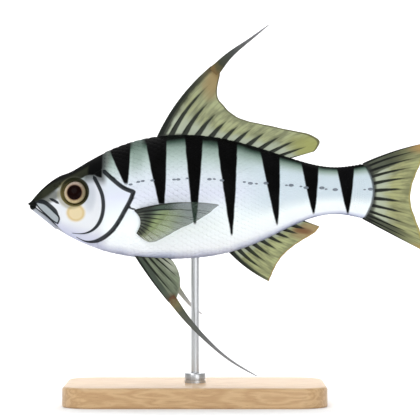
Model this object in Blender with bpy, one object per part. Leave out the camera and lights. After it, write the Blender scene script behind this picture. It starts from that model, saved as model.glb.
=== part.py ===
"""A slender, black-barred, streamer-finned fish, life size, on a small display stand.

The fish swims towards -X with its left side facing -Y, level and straight, fins spread.
Sizes are in millimetres. The fish has its own side view: x runs back from the snout's tip
and z runs up from the body's axis. FISH_X and FISH_Z place that view over the stand, and
every length becomes metres when a mesh is made.
"""

import math

import bmesh
import bpy
import numpy as np

MM = 0.001
GAP = 0.3  # between pieces that touch
FISH_X = -66.2  # snout's tip, from the rod's axis
FISH_Z = 82.2  # body's axis, above the table

# Body: (x, value) from the snout's tip to the base of the tail fin
BODY_END = 134.1
BACK = [
    (0, -3.2), (1.8, -0.3), (4.2, 2.4), (9, 6.5), (12.6, 8.6), (16.2, 9.95), (20.2, 12.2), (28.2, 16.75),
    (44.2, 22.7), (60, 24.7), (76, 23.4), (92, 19.4), (108, 14.4), (122, 11.85), (134.1, 13.2),
]
BELLY = [
    (0, -3.2), (1.8, -5.7), (4.2, -7.8), (9, -11.4), (16.2, -15.9), (28.2, -21.0),
    (44.2, -24.1), (60, -24.6), (76, -22.9), (92, -17.8), (108, -10.2), (122, -6.8), (134.1, -8.6),
]
HALF_WIDTH = [
    (0, 0), (0.6, 1.3), (1.8, 2.2), (4.2, 3.3), (9, 4.8), (16.2, 6.7), (28.2, 8.7),
    (44.2, 9.8), (60, 10.1), (76, 9.3), (92, 7.5), (108, 5.1), (122, 3.3), (134.1, 1.4),
]
STATIONS = 46  # cross-sections along the body
RING = 36  # points round each
KEEL = 0.13  # the back's section is sharper than the belly's by this power
PEAR = 0.07  # and narrower by this share
LEAST_HALF = 0.2  # of a section's width, where a shrunken body would vanish
TAIL_BULGE = 3.8  # how far the tail fin's base bows back at mid-height
BULGE_LENGTH = 12.0

# Head: lines in side view
GILL_EDGE = [
    (27.7, 19.5), (29.4, 10.8), (32.1, 8.3), (35.2, 5.6), (37.9, 3.6), (41.9, 2.0), (40.7, -1.2),
    (38.8, -4.8), (36.5, -8.9), (33.7, -12.9), (30.3, -15.9), (26.7, -17.9), (23.7, -22.0),
]
CHEEK_EDGE = [
    (25.8, 8.4), (27.8, 4.7), (29.3, 1.2), (29.9, -2.5), (29.6, -6.6), (28.2, -10.3), (25.5, -13.3),
    (22.6, -14.9),
]
MOUTH_LINE = [
    (-2.5, -2.4), (0.0, -3.2), (1.5, -3.7), (3.7, -5.2), (7.4, -8.0), (10.4, -10.7), (12.0, -12.1),
    (13.2, -15.6),
]
UPPER_LIP = [
    (-1.5, -1.6), (0.6, -1.7), (2.6, -1.6), (5.5, -1.9), (8.6, -3.8), (11.0, -6.3), (12.3, -8.7),
    (12.2, -10.6), (10.4, -10.7), (7.4, -8.0), (3.7, -5.2), (1.5, -3.7), (0.0, -3.2), (-1.5, -2.7),
]
LOWER_LIP = [
    (-1.5, -2.7), (0.0, -3.2), (1.5, -3.7), (3.7, -5.2), (7.4, -8.0), (9.4, -9.8),
    (8.6, -10.5), (6.0, -8.6), (3.0, -6.4), (1.0, -5.2), (-1.5, -4.2),
]
LIP_RAISE = 0.45
GILL_RAISE = 0.5
GILL_DEPTH = 1.6
MIDLINE_CLEAR = 1.0  # a gill cover ends this far from the middle plane
PAST_BODY = 30.0  # cutters reach this far out
TAIL_PARTING_X = 108.6

EYE = (18.35, 1.8)
EYE_RADIUS = 4.9
EYE_HALF_DEPTH = 2.9
EYE_BULGE = 0.9  # the eye's front stands this proud of the cheek
EYE_SEGMENTS = 20
EYE_RINGS = 8
ORBIT_RIM = 0.55  # the socket's raised ring: its height, half-width and middle beyond the eye
ORBIT_RIM_HALF = 0.9
ORBIT_RIM_OUT = 0.5
NOSTRILS = [(10.2, 4.2, 0.6), (12.4, 5.2, 0.5)]  # x, z, radius

# Fins: membrane and rays; ROOTS has the x at which each ray leaves the body, and for
# the tail fin the height there, from 1 at the back to -1 at the belly
MEMBRANE = 0.56  # thickness at the root
EDGE = 0.5  # thickness at the margin
RAY_RAISE = 0.34
RAY_TAPER = 0.62  # a ray loses this share of its height by the margin
RAY_FOOT = 0.2  # a ray's ridge reaches this share of the way to the next ray
ROOT_SWELL = 0.35
ROOT_SINK = 0.9  # a fin starts this far inside the body before it is trimmed
ROWS = [0.0, 0.08, 0.18, 0.36, 0.56, 0.78, 1.0]

DORSAL_ROOTS = [51.1, 55.4, 60.6, 65.8, 71.2, 76.4, 81.2, 86.0, 90.8, 95.0, 98.8, 102.6]
DORSAL_STREAMER = [(74.6, 51.1), (79.3, 56.1), (86.1, 61.5), (95.7, 68.9)]
DORSAL_STREAMER_WIDTH = 4.4
DORSAL_STREAMER_TAPER = 2.0  # the power by which its width falls
DORSAL_MARGIN = [
    (75.0, 42.0), (77.5, 36.8), (81.2, 33.2), (85.8, 30.9), (91.0, 29.6),
    (97.0, 28.4), (103.8, 26.9), (111.1, 25.4), (116.0, 22.4), (114.0, 18.3),
]
DORSAL_BOW = (0.06, 0.0)
DORSAL_SPLIT = 0.5

ANAL_ROOTS = [79.5, 82.5, 85.5, 88.6, 91.7, 94.7, 97.6, 100.4, 103.5, 108.3]
ANAL_MARGIN = [
    (95.8, -33.7), (96.8, -31.2), (98.1, -28.3), (99.7, -25.5), (101.9, -22.8),
    (104.7, -20.3), (107.8, -18.1), (111.1, -16.1), (114.2, -14.1), (116.0, -11.8),
]
ANAL_BOW = (-0.05, 0.0)

TAIL_ROOTS = [1.0, 0.89, 0.71, 0.52, 0.27, 0.01, -0.26, -0.51, -0.73, -0.86, -0.94, -1.0]
TAIL_MARGIN = [
    (159.8, 21.8), (158.8, 19.2), (157.5, 16.1), (155.9, 12.2), (154.1, 7.9), (152.7, 3.1),
    (152.5, -2.4), (153.9, -7.4), (155.8, -12.5), (157.4, -16.8), (158.6, -20.0), (159.4, -22.4),
]
TAIL_BOW = (0.033, -0.004)
TAIL_SPLIT = 0.5
TAIL_ROOT_REACH = 0.985  # of the tail stalk's height

PECTORAL_ROOT = [(42.4, -5.5), (44.2, -7.6), (44.8, -10.6), (43.3, -14.3)]
PECTORAL_MARGIN = [
    (75.8, -3.2), (71.9, -6.4), (67.6, -9.1), (63.4, -11.2), (59.5, -13.0),
    (56.2, -14.9), (53.2, -16.5), (50.7, -17.6), (48.3, -17.9), (46.2, -17.0),
]
PECTORAL_BOW = (0.058, -0.03)
PECTORAL_OUT = 0.7  # the fan's root stands this far off the side
PECTORAL_FLARE = math.tan(math.radians(17))
PECTORAL_LOBE = (42.2, -9.6)
PECTORAL_LOBE_HALF = (4.2, 1.25, 5.2)

PELVIC_ROOT = (42.3, 54.8)
PELVIC_BOW = (-0.02, 0.01)
PELVIC_OUT = 2.5
PELVIC_SPLAY = math.tan(math.radians(17))
PELVIC_LEFT = {
    "streamer": [(57.5, -41.1), (61.6, -46.6), (66.7, -52.4), (72.6, -58.2), (79.7, -64.0), (90.5, -70.3)],
    "width": 3.5,
    "taper": 2.0,
    "margin": [(60.0, -36.6), (60.3, -32.8), (59.4, -29.2), (57.5, -25.9)],
}
PELVIC_RIGHT = {
    "streamer": [(59.2, -36.8), (62.3, -41.0), (65.2, -44.3), (69.3, -47.5)],
    "width": 2.3,
    "taper": 1.2,
    "margin": [(60.0, -33.6), (59.6, -30.9), (58.8, -28.3), (57.4, -25.9)],
}
STREAMER_TIP_WIDTH = 0.8
STREAMER_ROOT_THICK = 0.35  # the root's thickness over the tip's
STREAMER_CROWDING = 1.3  # the power that gathers its sections near the blade
STREAMER_SIDES = 8
STREAMER_ROWS = 9

# Stand
BASE_LENGTH = 104.0
BASE_WIDTH = 62.0
BASE_HEIGHT = 8.0
BASE_CORNER = 12.0
BASE_BEVEL = 1.2
BASE_BORE_DEPTH = 5.0
ROD_RADIUS = 1.6
ROD_INTO_BELLY = 7.0
BORE_BELOW_BELLY = 3.0  # its cutter starts this far outside
COLLAR_RADIUS = 4.2
COLLAR_HEIGHT = 4.0
COLLAR_BEVEL = 0.6
CORNER_STEPS = 6

COLOURS = {
    "skin": ((0.83, 0.87, 0.88), 0.32, 0.0),
    "gill": ((0.88, 0.91, 0.93), 0.28, 0.0),
    "fin": ((0.38, 0.41, 0.22), 0.45, 0.0),
    "streamer": ((0.12, 0.13, 0.10), 0.5, 0.0),
    "eye": ((0.05, 0.02, 0.01), 0.1, 0.0),
    "wood": ((0.50, 0.34, 0.20), 0.45, 0.0),
    "steel": ((0.60, 0.60, 0.60), 0.3, 1.0),
}


def smooth_curve(knots, values):
    """The natural cubic through the values at the knots, as a function of one number."""
    knots = np.array(knots, float)
    values = np.array(values, float)
    step = np.diff(knots)
    slope = np.diff(values) / step
    count = len(knots)
    system = np.eye(count)
    right = np.zeros(count)
    for i in range(1, count - 1):
        system[i, i - 1:i + 2] = step[i - 1], 2 * (step[i - 1] + step[i]), step[i]
        right[i] = 6 * (slope[i] - slope[i - 1])
    bend = np.linalg.solve(system, right)

    def at(x):
        i = int(np.clip(np.searchsorted(knots, x) - 1, 0, count - 2))
        near, far = x - knots[i], knots[i + 1] - x
        curved = (bend[i] * far ** 3 + bend[i + 1] * near ** 3) / (6 * step[i])
        start = values[i] / step[i] - bend[i] * step[i] / 6
        end = values[i + 1] / step[i] - bend[i + 1] * step[i] / 6
        return float(curved + start * far + end * near)

    return at


def nose_curve(points):
    """A curve of x that leaves the snout's tip at a right angle, so that the nose is round."""
    curve = smooth_curve([math.sqrt(x) for x, _ in points], [value for _, value in points])
    return lambda x: curve(math.sqrt(max(x, 0.0)))


back_at = nose_curve(BACK)
belly_at = nose_curve(BELLY)
width_at = nose_curve(HALF_WIDTH)


def section_shape(up):
    """Half-width of a cross-section at height up (-1 belly, 1 back), as a share of the widest."""
    side = math.sqrt(max(1 - up * up, 0.0))
    return side ** (1 + KEEL * up) * (1 - PEAR * up)


def body_point(x, angle, grow):
    """A point of the body's surface at a station and an angle from the back, moved out by grow."""
    top, bottom = back_at(x), belly_at(x)
    up = math.cos(angle)
    z = (top + bottom) / 2 + ((top - bottom) / 2 + grow) * up
    y = max(width_at(x) + grow, LEAST_HALF) * section_shape(up) * math.copysign(1, math.sin(angle))
    near_end = max(0.0, 1 - (BODY_END - x) / BULGE_LENGTH)
    end = near_end * near_end * (3 - 2 * near_end)
    return np.array([x + end * (TAIL_BULGE * (1 - up * up) + grow), y, z])


def side_at(x, z):
    """Half-width of the body at a place in side view."""
    top, bottom = back_at(x), belly_at(x)
    up = (2 * z - top - bottom) / (top - bottom)
    return width_at(x) * section_shape(max(-1.0, min(1.0, up)))


def side_normal(x, z, side):
    """The way out of the body's side, side being -1 on the left and 1 on the right."""
    reach = 0.05
    along_x = (side_at(x + reach, z) - side_at(x - reach, z)) / (2 * reach)
    along_z = (side_at(x, z + reach) - side_at(x, z - reach)) / (2 * reach)
    normal = np.array([-along_x, side, -along_z])
    return normal / np.linalg.norm(normal)


def make_material(name):
    colour, roughness, metallic = COLOURS[name]
    material = bpy.data.materials.get(name) or bpy.data.materials.new(name)
    material.use_nodes = True
    shader = material.node_tree.nodes["Principled BSDF"]
    shader.inputs["Base Color"].default_value = (*colour, 1)
    shader.inputs["Roughness"].default_value = roughness
    shader.inputs["Metallic"].default_value = metallic
    material.diffuse_color = (*colour, 1)
    return material


def make_object(name, vertices, faces, material="skin", on_fish=True):
    """An object from points in millimetres, its faces turned outwards."""
    shift = np.array([FISH_X, 0, FISH_Z]) if on_fish else np.zeros(3)
    mesh = bpy.data.meshes.new(name)
    mesh.from_pydata([tuple((np.array(v) + shift) * MM) for v in vertices], [], faces)
    form = bmesh.new()
    form.from_mesh(mesh)
    bmesh.ops.recalc_face_normals(form, faces=form.faces)
    form.to_mesh(mesh)
    form.free()
    mesh.materials.append(make_material(material))
    made = bpy.data.objects.new(name, mesh)
    bpy.context.collection.objects.link(made)
    return made


def body_loft(name, grow):
    """The whole body as one closed mesh, moved out by grow, or in where grow is negative."""
    first = max(0.0, -grow)
    roots = np.linspace(math.sqrt(first + 0.05), math.sqrt(BODY_END), STATIONS)
    angles = [2 * math.pi * k / RING for k in range(RING)]
    vertices = [(-grow, 0, (back_at(first) + belly_at(first)) / 2)]
    for root in roots:
        vertices += [body_point(root * root, angle, grow) for angle in angles]
    faces = []
    for k in range(RING):
        after = (k + 1) % RING
        faces.append((0, 1 + k, 1 + after))
        for ring in range(STATIONS - 1):
            here, beyond = 1 + ring * RING, 1 + (ring + 1) * RING
            faces.append((here + k, beyond + k, beyond + after, here + after))
    last = 1 + (STATIONS - 1) * RING
    half = RING // 2
    faces.append((last, last + 1, last + RING - 1))
    faces.append((last + half, last + half + 1, last + half - 1))
    for k in range(1, half - 1):
        faces.append((last + k, last + k + 1, last + RING - k - 1, last + RING - k))
    return make_object(name, vertices, faces)


def prism(name, outline, low, high):
    """The outline in side view, drawn out sideways from y low to y high."""
    count = len(outline)
    vertices = [(x, y, z) for y in (low, high) for x, z in outline]
    walls = [(k, (k + 1) % count, count + (k + 1) % count, count + k) for k in range(count)]
    return make_object(name, vertices, [tuple(range(count)), tuple(range(count, 2 * count)), *walls])


def shifted(line, distance, closed=False):
    """A line in side view, moved sideways by a distance: to the left of the way it runs."""
    points = np.array(line, float)
    before = np.roll(points, 1, axis=0)
    after = np.roll(points, -1, axis=0)
    if not closed:
        before[0] = 2 * points[0] - points[1]
        after[-1] = 2 * points[-1] - points[-2]
    moved = []
    for a, b, c in zip(before, points, after):
        first, second = (b - a) / np.linalg.norm(b - a), (c - b) / np.linalg.norm(c - b)
        normals = np.array([[-first[1], first[0]], [-second[1], second[0]]])
        middle = normals.sum(axis=0)
        moved.append(b + middle * (2 * distance / (middle @ middle)))
    return moved


def rounded(line, ends=0):
    """A line with one more point on a smooth curve between each two, but for its straight ends."""
    reach = [0.0]
    for a, b in zip(line, line[1:]):
        reach.append(reach[-1] + math.dist(a, b))
    curve_x = smooth_curve(reach, [x for x, _ in line])
    curve_z = smooth_curve(reach, [z for _, z in line])
    full = []
    for i, point in enumerate(line):
        full.append(point)
        if ends <= i < len(line) - 1 - ends:
            middle = (reach[i] + reach[i + 1]) / 2
            full.append((curve_x(middle), curve_z(middle)))
    return full


def boolean(target, operation, cutters):
    """Joins or cuts the target by each cutter, and removes the cutters."""
    for cutter in cutters:
        step = target.modifiers.new(operation, "BOOLEAN")
        step.operation = operation
        step.solver = "EXACT"
        step.object = cutter
    bake(target)
    for cutter in cutters:
        bpy.data.objects.remove(cutter)
    return target


def fuse(target, pieces):
    """Joins a node's pieces by one union on a collection, which is then removed."""
    group = bpy.data.collections.new("pieces")
    for piece in pieces:
        group.objects.link(piece)
    step = target.modifiers.new("union", "BOOLEAN")
    step.operation = "UNION"
    step.solver = "EXACT"
    step.operand_type = "COLLECTION"
    step.collection = group
    bake(target)
    for piece in pieces:
        bpy.data.objects.remove(piece)
    bpy.data.collections.remove(group)
    return target


def bake(target):
    """Replaces an object's mesh by what its modifiers make of it."""
    bpy.context.view_layer.update()
    graph = bpy.context.evaluated_depsgraph_get()
    mesh = bpy.data.meshes.new_from_object(target.evaluated_get(graph))
    target.modifiers.clear()
    old = target.data
    target.data = mesh
    bpy.data.meshes.remove(old)


def islands(form):
    """The separate surfaces of a bmesh, each a list of its faces."""
    left = set(form.faces)
    found = []
    while left:
        waiting = [left.pop()]
        island = []
        while waiting:
            face = waiting.pop()
            island.append(face)
            for edge in face.edges:
                for other in edge.link_faces:
                    if other in left:
                        left.remove(other)
                        waiting.append(other)
        found.append(island)
    return found


def keep_largest(target):
    """Keeps the surface with the most area and drops loose scraps."""
    form = bmesh.new()
    form.from_mesh(target.data)
    parts = sorted(islands(form), key=lambda part: -sum(face.calc_area() for face in part))
    bmesh.ops.delete(form, geom=[face for part in parts[1:] for face in part], context="FACES")
    form.to_mesh(target.data)
    form.free()
    return target


def split_along_x(target, names, material="skin"):
    """Makes one named object of each of the target's closed surfaces, in order of their middles."""
    form = bmesh.new()
    form.from_mesh(target.data)
    parts = sorted(islands(form), key=lambda part: -sum(face.calc_area() for face in part))[:len(names)]
    parts.sort(key=lambda part: sum(face.calc_center_median().x for face in part) / len(part))
    made = []
    for name, part in zip(names, parts):
        index = {vertex: i for i, vertex in enumerate({vertex for face in part for vertex in face.verts})}
        mesh = bpy.data.meshes.new(name)
        mesh.from_pydata(
            [tuple(vertex.co) for vertex in index],
            [],
            [tuple(index[vertex] for vertex in face.verts) for face in part],
        )
        mesh.materials.append(make_material(material))
        piece = bpy.data.objects.new(name, mesh)
        bpy.context.collection.objects.link(piece)
        made.append(piece)
    form.free()
    bpy.data.objects.remove(target)
    return made


def ellipsoid(name, centre, halves, axes, segments, rings, material="skin"):
    """A ball stretched to three half-sizes along three axes."""
    vertices = [np.array(centre) + axes[1] * halves[1]]
    for ring in range(1, rings):
        polar = math.pi * ring / rings
        for segment in range(segments):
            turn = 2 * math.pi * segment / segments
            local = (math.sin(polar) * math.cos(turn), math.cos(polar), math.sin(polar) * math.sin(turn))
            vertices.append(np.array(centre) + sum(a * h * u for a, h, u in zip(axes, halves, local)))
    vertices.append(np.array(centre) - axes[1] * halves[1])
    last = len(vertices) - 1
    faces = []
    for segment in range(segments):
        after = (segment + 1) % segments
        faces.append((0, 1 + segment, 1 + after))
        for ring in range(rings - 2):
            here, below = 1 + ring * segments, 1 + (ring + 1) * segments
            faces.append((here + segment, below + segment, below + after, here + after))
        base = 1 + (rings - 2) * segments
        faces.append((base + segment, last, base + after))
    return make_object(name, vertices, faces, material)


def cylinder(name, radius, low, high, sides=24, material="steel"):
    """An upright cylinder on the rod's axis, from z low to z high above the table."""
    turns = [2 * math.pi * k / sides for k in range(sides)]
    vertices = [(radius * math.cos(t), radius * math.sin(t), z) for z in (low, high) for t in turns]
    walls = [(k, (k + 1) % sides, sides + (k + 1) % sides, sides + k) for k in range(sides)]
    ends = [tuple(range(sides)), tuple(range(sides, 2 * sides))]
    return make_object(name, vertices, [*walls, *ends], material, on_fish=False)


def surface_axes(x, z, side):
    """Three axes at a place on the body's side: along the body, outwards and upwards."""
    out = side_normal(x, z, side)
    along = np.array([1.0, 0, 0]) - out * out[0]
    along /= np.linalg.norm(along)
    return [along, out, np.cross(along, out)]


def orbit_rim(name, centre, axes):
    """The raised ring of skin round an eye."""
    around, across = EYE_SEGMENTS, 6
    vertices = []
    for k in range(around):
        turn = 2 * math.pi * k / around
        spoke = axes[0] * math.cos(turn) + axes[2] * math.sin(turn)
        for j in range(across):
            tilt = 2 * math.pi * j / across
            reach = EYE_RADIUS + ORBIT_RIM_OUT + ORBIT_RIM_HALF * math.cos(tilt)
            vertices.append(centre + spoke * reach + axes[1] * ORBIT_RIM * math.sin(tilt))
    faces = []
    for k in range(around):
        for j in range(across):
            here, beyond = k * across, ((k + 1) % around) * across
            side = (j + 1) % across
            faces.append((here + j, here + side, beyond + side, beyond + j))
    return make_object(name, vertices, faces)


def make_body():
    """Head, lower jaw, trunk and tail stalk from one body, with the gill covers and eyes."""
    body = body_loft("body", 0)
    lips = []
    for name, outline in (("upper_lip", UPPER_LIP), ("lower_lip", LOWER_LIP)):
        lip = body_loft(name, LIP_RAISE)
        lips.append(boolean(lip, "INTERSECT", [prism("cutter", outline, -PAST_BODY, PAST_BODY)]))
    fuse(body, lips)
    gill_line = rounded(GILL_EDGE[:6])[:-1] + rounded(GILL_EDGE[5:])
    partings = []
    tail_line = [(TAIL_PARTING_X, PAST_BODY), (TAIL_PARTING_X, -PAST_BODY)]
    for line in (gill_line, rounded(MOUTH_LINE, 1), tail_line):
        outline = shifted(line, GAP / 2) + shifted(line, -GAP / 2)[::-1]
        partings.append(prism("parting", outline, -PAST_BODY, PAST_BODY))
    boolean(body, "DIFFERENCE", partings)
    jaw, head, trunk, stalk = split_along_x(body, ["lower_jaw", "head", "trunk", "tail_stalk"])
    plate = shifted(gill_line, -GAP / 2)[2:-3]
    plate = [tuple(p) for p in plate] + rounded(CHEEK_EDGE)[::-1]
    add_gill_covers(head, plate)
    add_eyes(head)
    drill_nostrils(head)
    for piece in (jaw, head, trunk, stalk):
        keep_largest(piece)
    return trunk


def add_gill_covers(head, plate):
    """Lifts a plate of the cheek's skin out on each side, and sinks its seat into the head."""
    for name, side in (("gill_cover_left", -1), ("gill_cover_right", 1)):
        inner, outer = sorted((side * MIDLINE_CLEAR, side * PAST_BODY))
        cover = boolean(body_loft(name, GILL_RAISE), "INTERSECT", [prism("cutter", plate, inner, outer)])
        boolean(cover, "DIFFERENCE", [body_loft("core", -GILL_DEPTH)])
        cover.data.materials.clear()
        cover.data.materials.append(make_material("gill"))
        keep_largest(cover)
        inner, outer = sorted((side * (MIDLINE_CLEAR - GAP), side * PAST_BODY))
        seat = prism("seat", shifted(plate, GAP, closed=True), inner, outer)
        boolean(seat, "DIFFERENCE", [body_loft("core", -GILL_DEPTH - GAP)])
        boolean(head, "DIFFERENCE", [seat])


def add_eyes(head):
    """Sets an eye in a rimmed socket on each side of the head."""
    x, z = EYE
    rims, sockets = [], []
    for name, side in (("eye_left", -1), ("eye_right", 1)):
        axes = surface_axes(x, z, side)
        surface = np.array([x, side * side_at(x, z), z])
        centre = surface - axes[1] * (EYE_HALF_DEPTH - EYE_BULGE)
        halves = (EYE_RADIUS, EYE_HALF_DEPTH, EYE_RADIUS)
        rims.append(orbit_rim("rim", surface, axes))
        socket = [half + GAP for half in halves]
        sockets.append(ellipsoid("socket", centre, socket, axes, EYE_SEGMENTS, EYE_RINGS))
        ellipsoid(name, centre, halves, axes, EYE_SEGMENTS, EYE_RINGS, "eye")
    fuse(head, rims)
    boolean(head, "DIFFERENCE", sockets)


def drill_nostrils(head):
    """Sinks a small pair of nostrils before each eye."""
    pits = []
    for side in (-1, 1):
        for x, z, radius in NOSTRILS:
            axes = surface_axes(x, z, side)
            surface = np.array([x, side * side_at(x, z), z])
            pits.append(ellipsoid("pit", surface, [radius] * 3, axes, 7, 4))
    boolean(head, "DIFFERENCE", pits)


def on_line(points, share):
    """A point at a share of the way along evenly spaced points."""
    place = share * (len(points) - 1)
    i = min(int(place), len(points) - 2)
    a, b = np.array(points[i], float), np.array(points[i + 1], float)
    return a + (b - a) * (place - i)


def fin_columns(rays, start, end):
    """Places across a fin, each with 1 on a ray's crest and 0 on the membrane."""
    step = 1 / (rays - 1)
    columns = []
    for ray in range(rays):
        for shift, crest in ((-RAY_FOOT, 0), (0, 1), (RAY_FOOT, 0)):
            place = (ray + shift) * step
            if start < place < end:
                columns.append((place, crest))
    if start > 0:
        columns.insert(0, (start, 0))
    else:
        columns.insert(0, (0.0, 1))
    if end < 1:
        columns.append((end, 0))
    else:
        columns.append((1.0, 1))
    return columns


def fin_solid(name, root, margin, bow, lateral, part=(0, 1), material="fin"):
    """A fin with its rays raised as ridges on both faces of the membrane.

    root gives the side-view place where a share across the fin starts, margin lists the rays'
    tips, bow curves the first and last ray, and lateral gives how far out a place lies.
    """
    columns = fin_columns(len(margin), *part)
    grid = np.zeros((len(columns), len(ROWS), 3))
    for i, (across, _) in enumerate(columns):
        start, tip = np.array(root(across), float), on_line(margin, across)
        chord = tip - start
        beside = np.array([-chord[1], chord[0]]) * (bow[0] + (bow[1] - bow[0]) * across)
        for j, t in enumerate(ROWS):
            x, z = start + chord * t + beside * 4 * t * (1 - t)
            grid[i, j] = x, lateral(x, z, across, t), z
    normals = np.cross(np.gradient(grid, axis=0), np.gradient(grid, axis=1))
    normals /= np.linalg.norm(normals, axis=2, keepdims=True)
    half = np.zeros(grid.shape[:2])
    for i, (_, crest) in enumerate(columns):
        for j, t in enumerate(ROWS):
            membrane = (MEMBRANE + (EDGE - MEMBRANE) * t) / 2
            swell = ROOT_SWELL * max(0.0, 1 - t / ROWS[2])
            half[i, j] = membrane + crest * RAY_RAISE * (1 - RAY_TAPER * t) + swell
    return sheet_solid(name, grid, normals * half[:, :, None], material)


def sheet_solid(name, grid, offset, material):
    """A closed sheet round a grid of middle points, split alike into triangles on both faces."""
    wide, long = grid.shape[:2]
    vertices = list((grid + offset).reshape(-1, 3)) + list((grid - offset).reshape(-1, 3))
    under = wide * long
    faces = []
    for i in range(wide - 1):
        for j in range(long - 1):
            a, b, c, d = i * long + j, (i + 1) * long + j, (i + 1) * long + j + 1, i * long + j + 1
            for face in ((a, b, c), (a, c, d)):
                faces.append(face)
                faces.append(tuple(under + k for k in reversed(face)))
    rim = [i * long for i in range(wide)]
    rim += [(wide - 1) * long + j for j in range(1, long)]
    rim += [i * long + long - 1 for i in range(wide - 2, -1, -1)]
    rim += [j for j in range(long - 2, 0, -1)]
    for a, b in zip(rim, rim[1:] + rim[:1]):
        faces += [(a, under + a, under + b), (a, under + b, b)]
    return make_object(name, vertices, faces, material)


def streamer_start(line, width):
    """The two ends of the edge that a streamer grows from, square to the way it leaves."""
    start, toward = np.array(line[0], float), np.array(line[1], float)
    along = (toward - start) / np.linalg.norm(toward - start)
    across = np.array([-along[1], along[0]]) * width / 2
    return start, along, across


def streamer_solid(name, line, width, taper, lateral):
    """A tapering, flattened streamer along a smooth line, a gap away from the fin's blade."""
    start, along, _ = streamer_start(line, width)
    line = [tuple(start + along * GAP), *line[1:]]
    reach = [0.0]
    for a, b in zip(line, line[1:]):
        reach.append(reach[-1] + math.dist(a, b))
    curve_x = smooth_curve(reach, [x for x, _ in line])
    curve_z = smooth_curve(reach, [z for _, z in line])
    path = []
    for row in range(STREAMER_ROWS + 1):
        share = (row / STREAMER_ROWS) ** STREAMER_CROWDING
        x, z = curve_x(share * reach[-1]), curve_z(share * reach[-1])
        path.append((share, np.array([x, lateral(x, z, 0, 1), z])))
    vertices, faces = [], []
    places = np.array([point for _, point in path])
    tangents = np.gradient(places, axis=0)
    tangents[0] = (along[0], tangents[0][1] / np.linalg.norm(tangents[0]), along[1])
    for (share, point), tangent in zip(path, tangents):
        tangent = tangent / np.linalg.norm(tangent)
        out = np.array([0, 1.0, 0]) - tangent * tangent[1]
        out /= np.linalg.norm(out)
        across = np.cross(tangent, out)
        wide = (STREAMER_TIP_WIDTH + (width - STREAMER_TIP_WIDTH) * (1 - share) ** taper) / 2
        thick = (STREAMER_TIP_WIDTH + STREAMER_ROOT_THICK * (1 - share)) / 2
        for side in range(STREAMER_SIDES):
            turn = 2 * math.pi * side / STREAMER_SIDES
            vertices.append(point + across * wide * math.cos(turn) + out * thick * math.sin(turn))
    for row in range(STREAMER_ROWS):
        here, beyond = row * STREAMER_SIDES, (row + 1) * STREAMER_SIDES
        for side in range(STREAMER_SIDES):
            after = (side + 1) % STREAMER_SIDES
            faces.append((here + side, here + after, beyond + after, beyond + side))
    faces.append(tuple(range(STREAMER_SIDES)))
    faces.append(tuple(range(STREAMER_ROWS * STREAMER_SIDES, (STREAMER_ROWS + 1) * STREAMER_SIDES)))
    return make_object(name, vertices, faces, "streamer")


def flat(x, z, across, t):
    """A median fin stands in the body's middle plane."""
    return 0.0


def seat_on_body(fin):
    """Trims a fin's root to the body's surface, a gap away from it."""
    boolean(fin, "DIFFERENCE", [body_loft("trim", GAP)])
    return keep_largest(fin)


def make_median_fins():
    """The dorsal, anal and tail fins, with the dorsal streamer."""
    def dorsal_root(across):
        x = float(np.interp(across * (len(DORSAL_ROOTS) - 1), range(len(DORSAL_ROOTS)), DORSAL_ROOTS))
        return x, back_at(x) - ROOT_SINK

    def anal_root(across):
        x = float(np.interp(across * (len(ANAL_ROOTS) - 1), range(len(ANAL_ROOTS)), ANAL_ROOTS))
        return x, belly_at(x) + ROOT_SINK

    def tail_root(across):
        up = float(np.interp(across * (len(TAIL_ROOTS) - 1), range(len(TAIL_ROOTS)), TAIL_ROOTS))
        x, _, z = body_point(BODY_END, math.acos(up * TAIL_ROOT_REACH), 0)
        return x - ROOT_SINK, z

    start, _, across = streamer_start(DORSAL_STREAMER, DORSAL_STREAMER_WIDTH)
    margin = [tuple(start + across), tuple(start - across), *DORSAL_MARGIN]
    cut = GAP / 2 / (DORSAL_ROOTS[-1] - DORSAL_ROOTS[0])
    halves = (("dorsal_fin_front", (0, DORSAL_SPLIT - cut)), ("dorsal_fin_rear", (DORSAL_SPLIT + cut, 1)))
    for name, part in halves:
        seat_on_body(fin_solid(name, dorsal_root, margin, DORSAL_BOW, flat, part))
    streamer_solid("dorsal_streamer", DORSAL_STREAMER, DORSAL_STREAMER_WIDTH, DORSAL_STREAMER_TAPER, flat)
    seat_on_body(fin_solid("anal_fin", anal_root, ANAL_MARGIN, ANAL_BOW, flat))
    cut = GAP / 2 / (back_at(BODY_END) - belly_at(BODY_END))
    for name, part in (("tail_fin_upper", (0, TAIL_SPLIT - cut)), ("tail_fin_lower", (TAIL_SPLIT + cut, 1))):
        seat_on_body(fin_solid(name, tail_root, TAIL_MARGIN, TAIL_BOW, flat, part))


def make_pectoral_fins():
    """A fan on each side behind the gill cover, on a fleshy lobe."""
    for name, side in (("pectoral_fin_left", -1), ("pectoral_fin_right", 1)):
        def root(across):
            return on_line(rounded(PECTORAL_ROOT), across)

        def lateral(x, z, across, t, side=side):
            start = root(across)
            away = math.dist(start, (x, z))
            return side * (side_at(*start) + PECTORAL_OUT + PECTORAL_FLARE * away)

        fin = fin_solid(name, root, PECTORAL_MARGIN, PECTORAL_BOW, lateral)
        x, z = PECTORAL_LOBE
        centre = np.array([x, side * side_at(x, z), z])
        fuse(fin, [ellipsoid("lobe", centre, PECTORAL_LOBE_HALF, surface_axes(x, z, side), 14, 8)])
        seat_on_body(fin)


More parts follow.
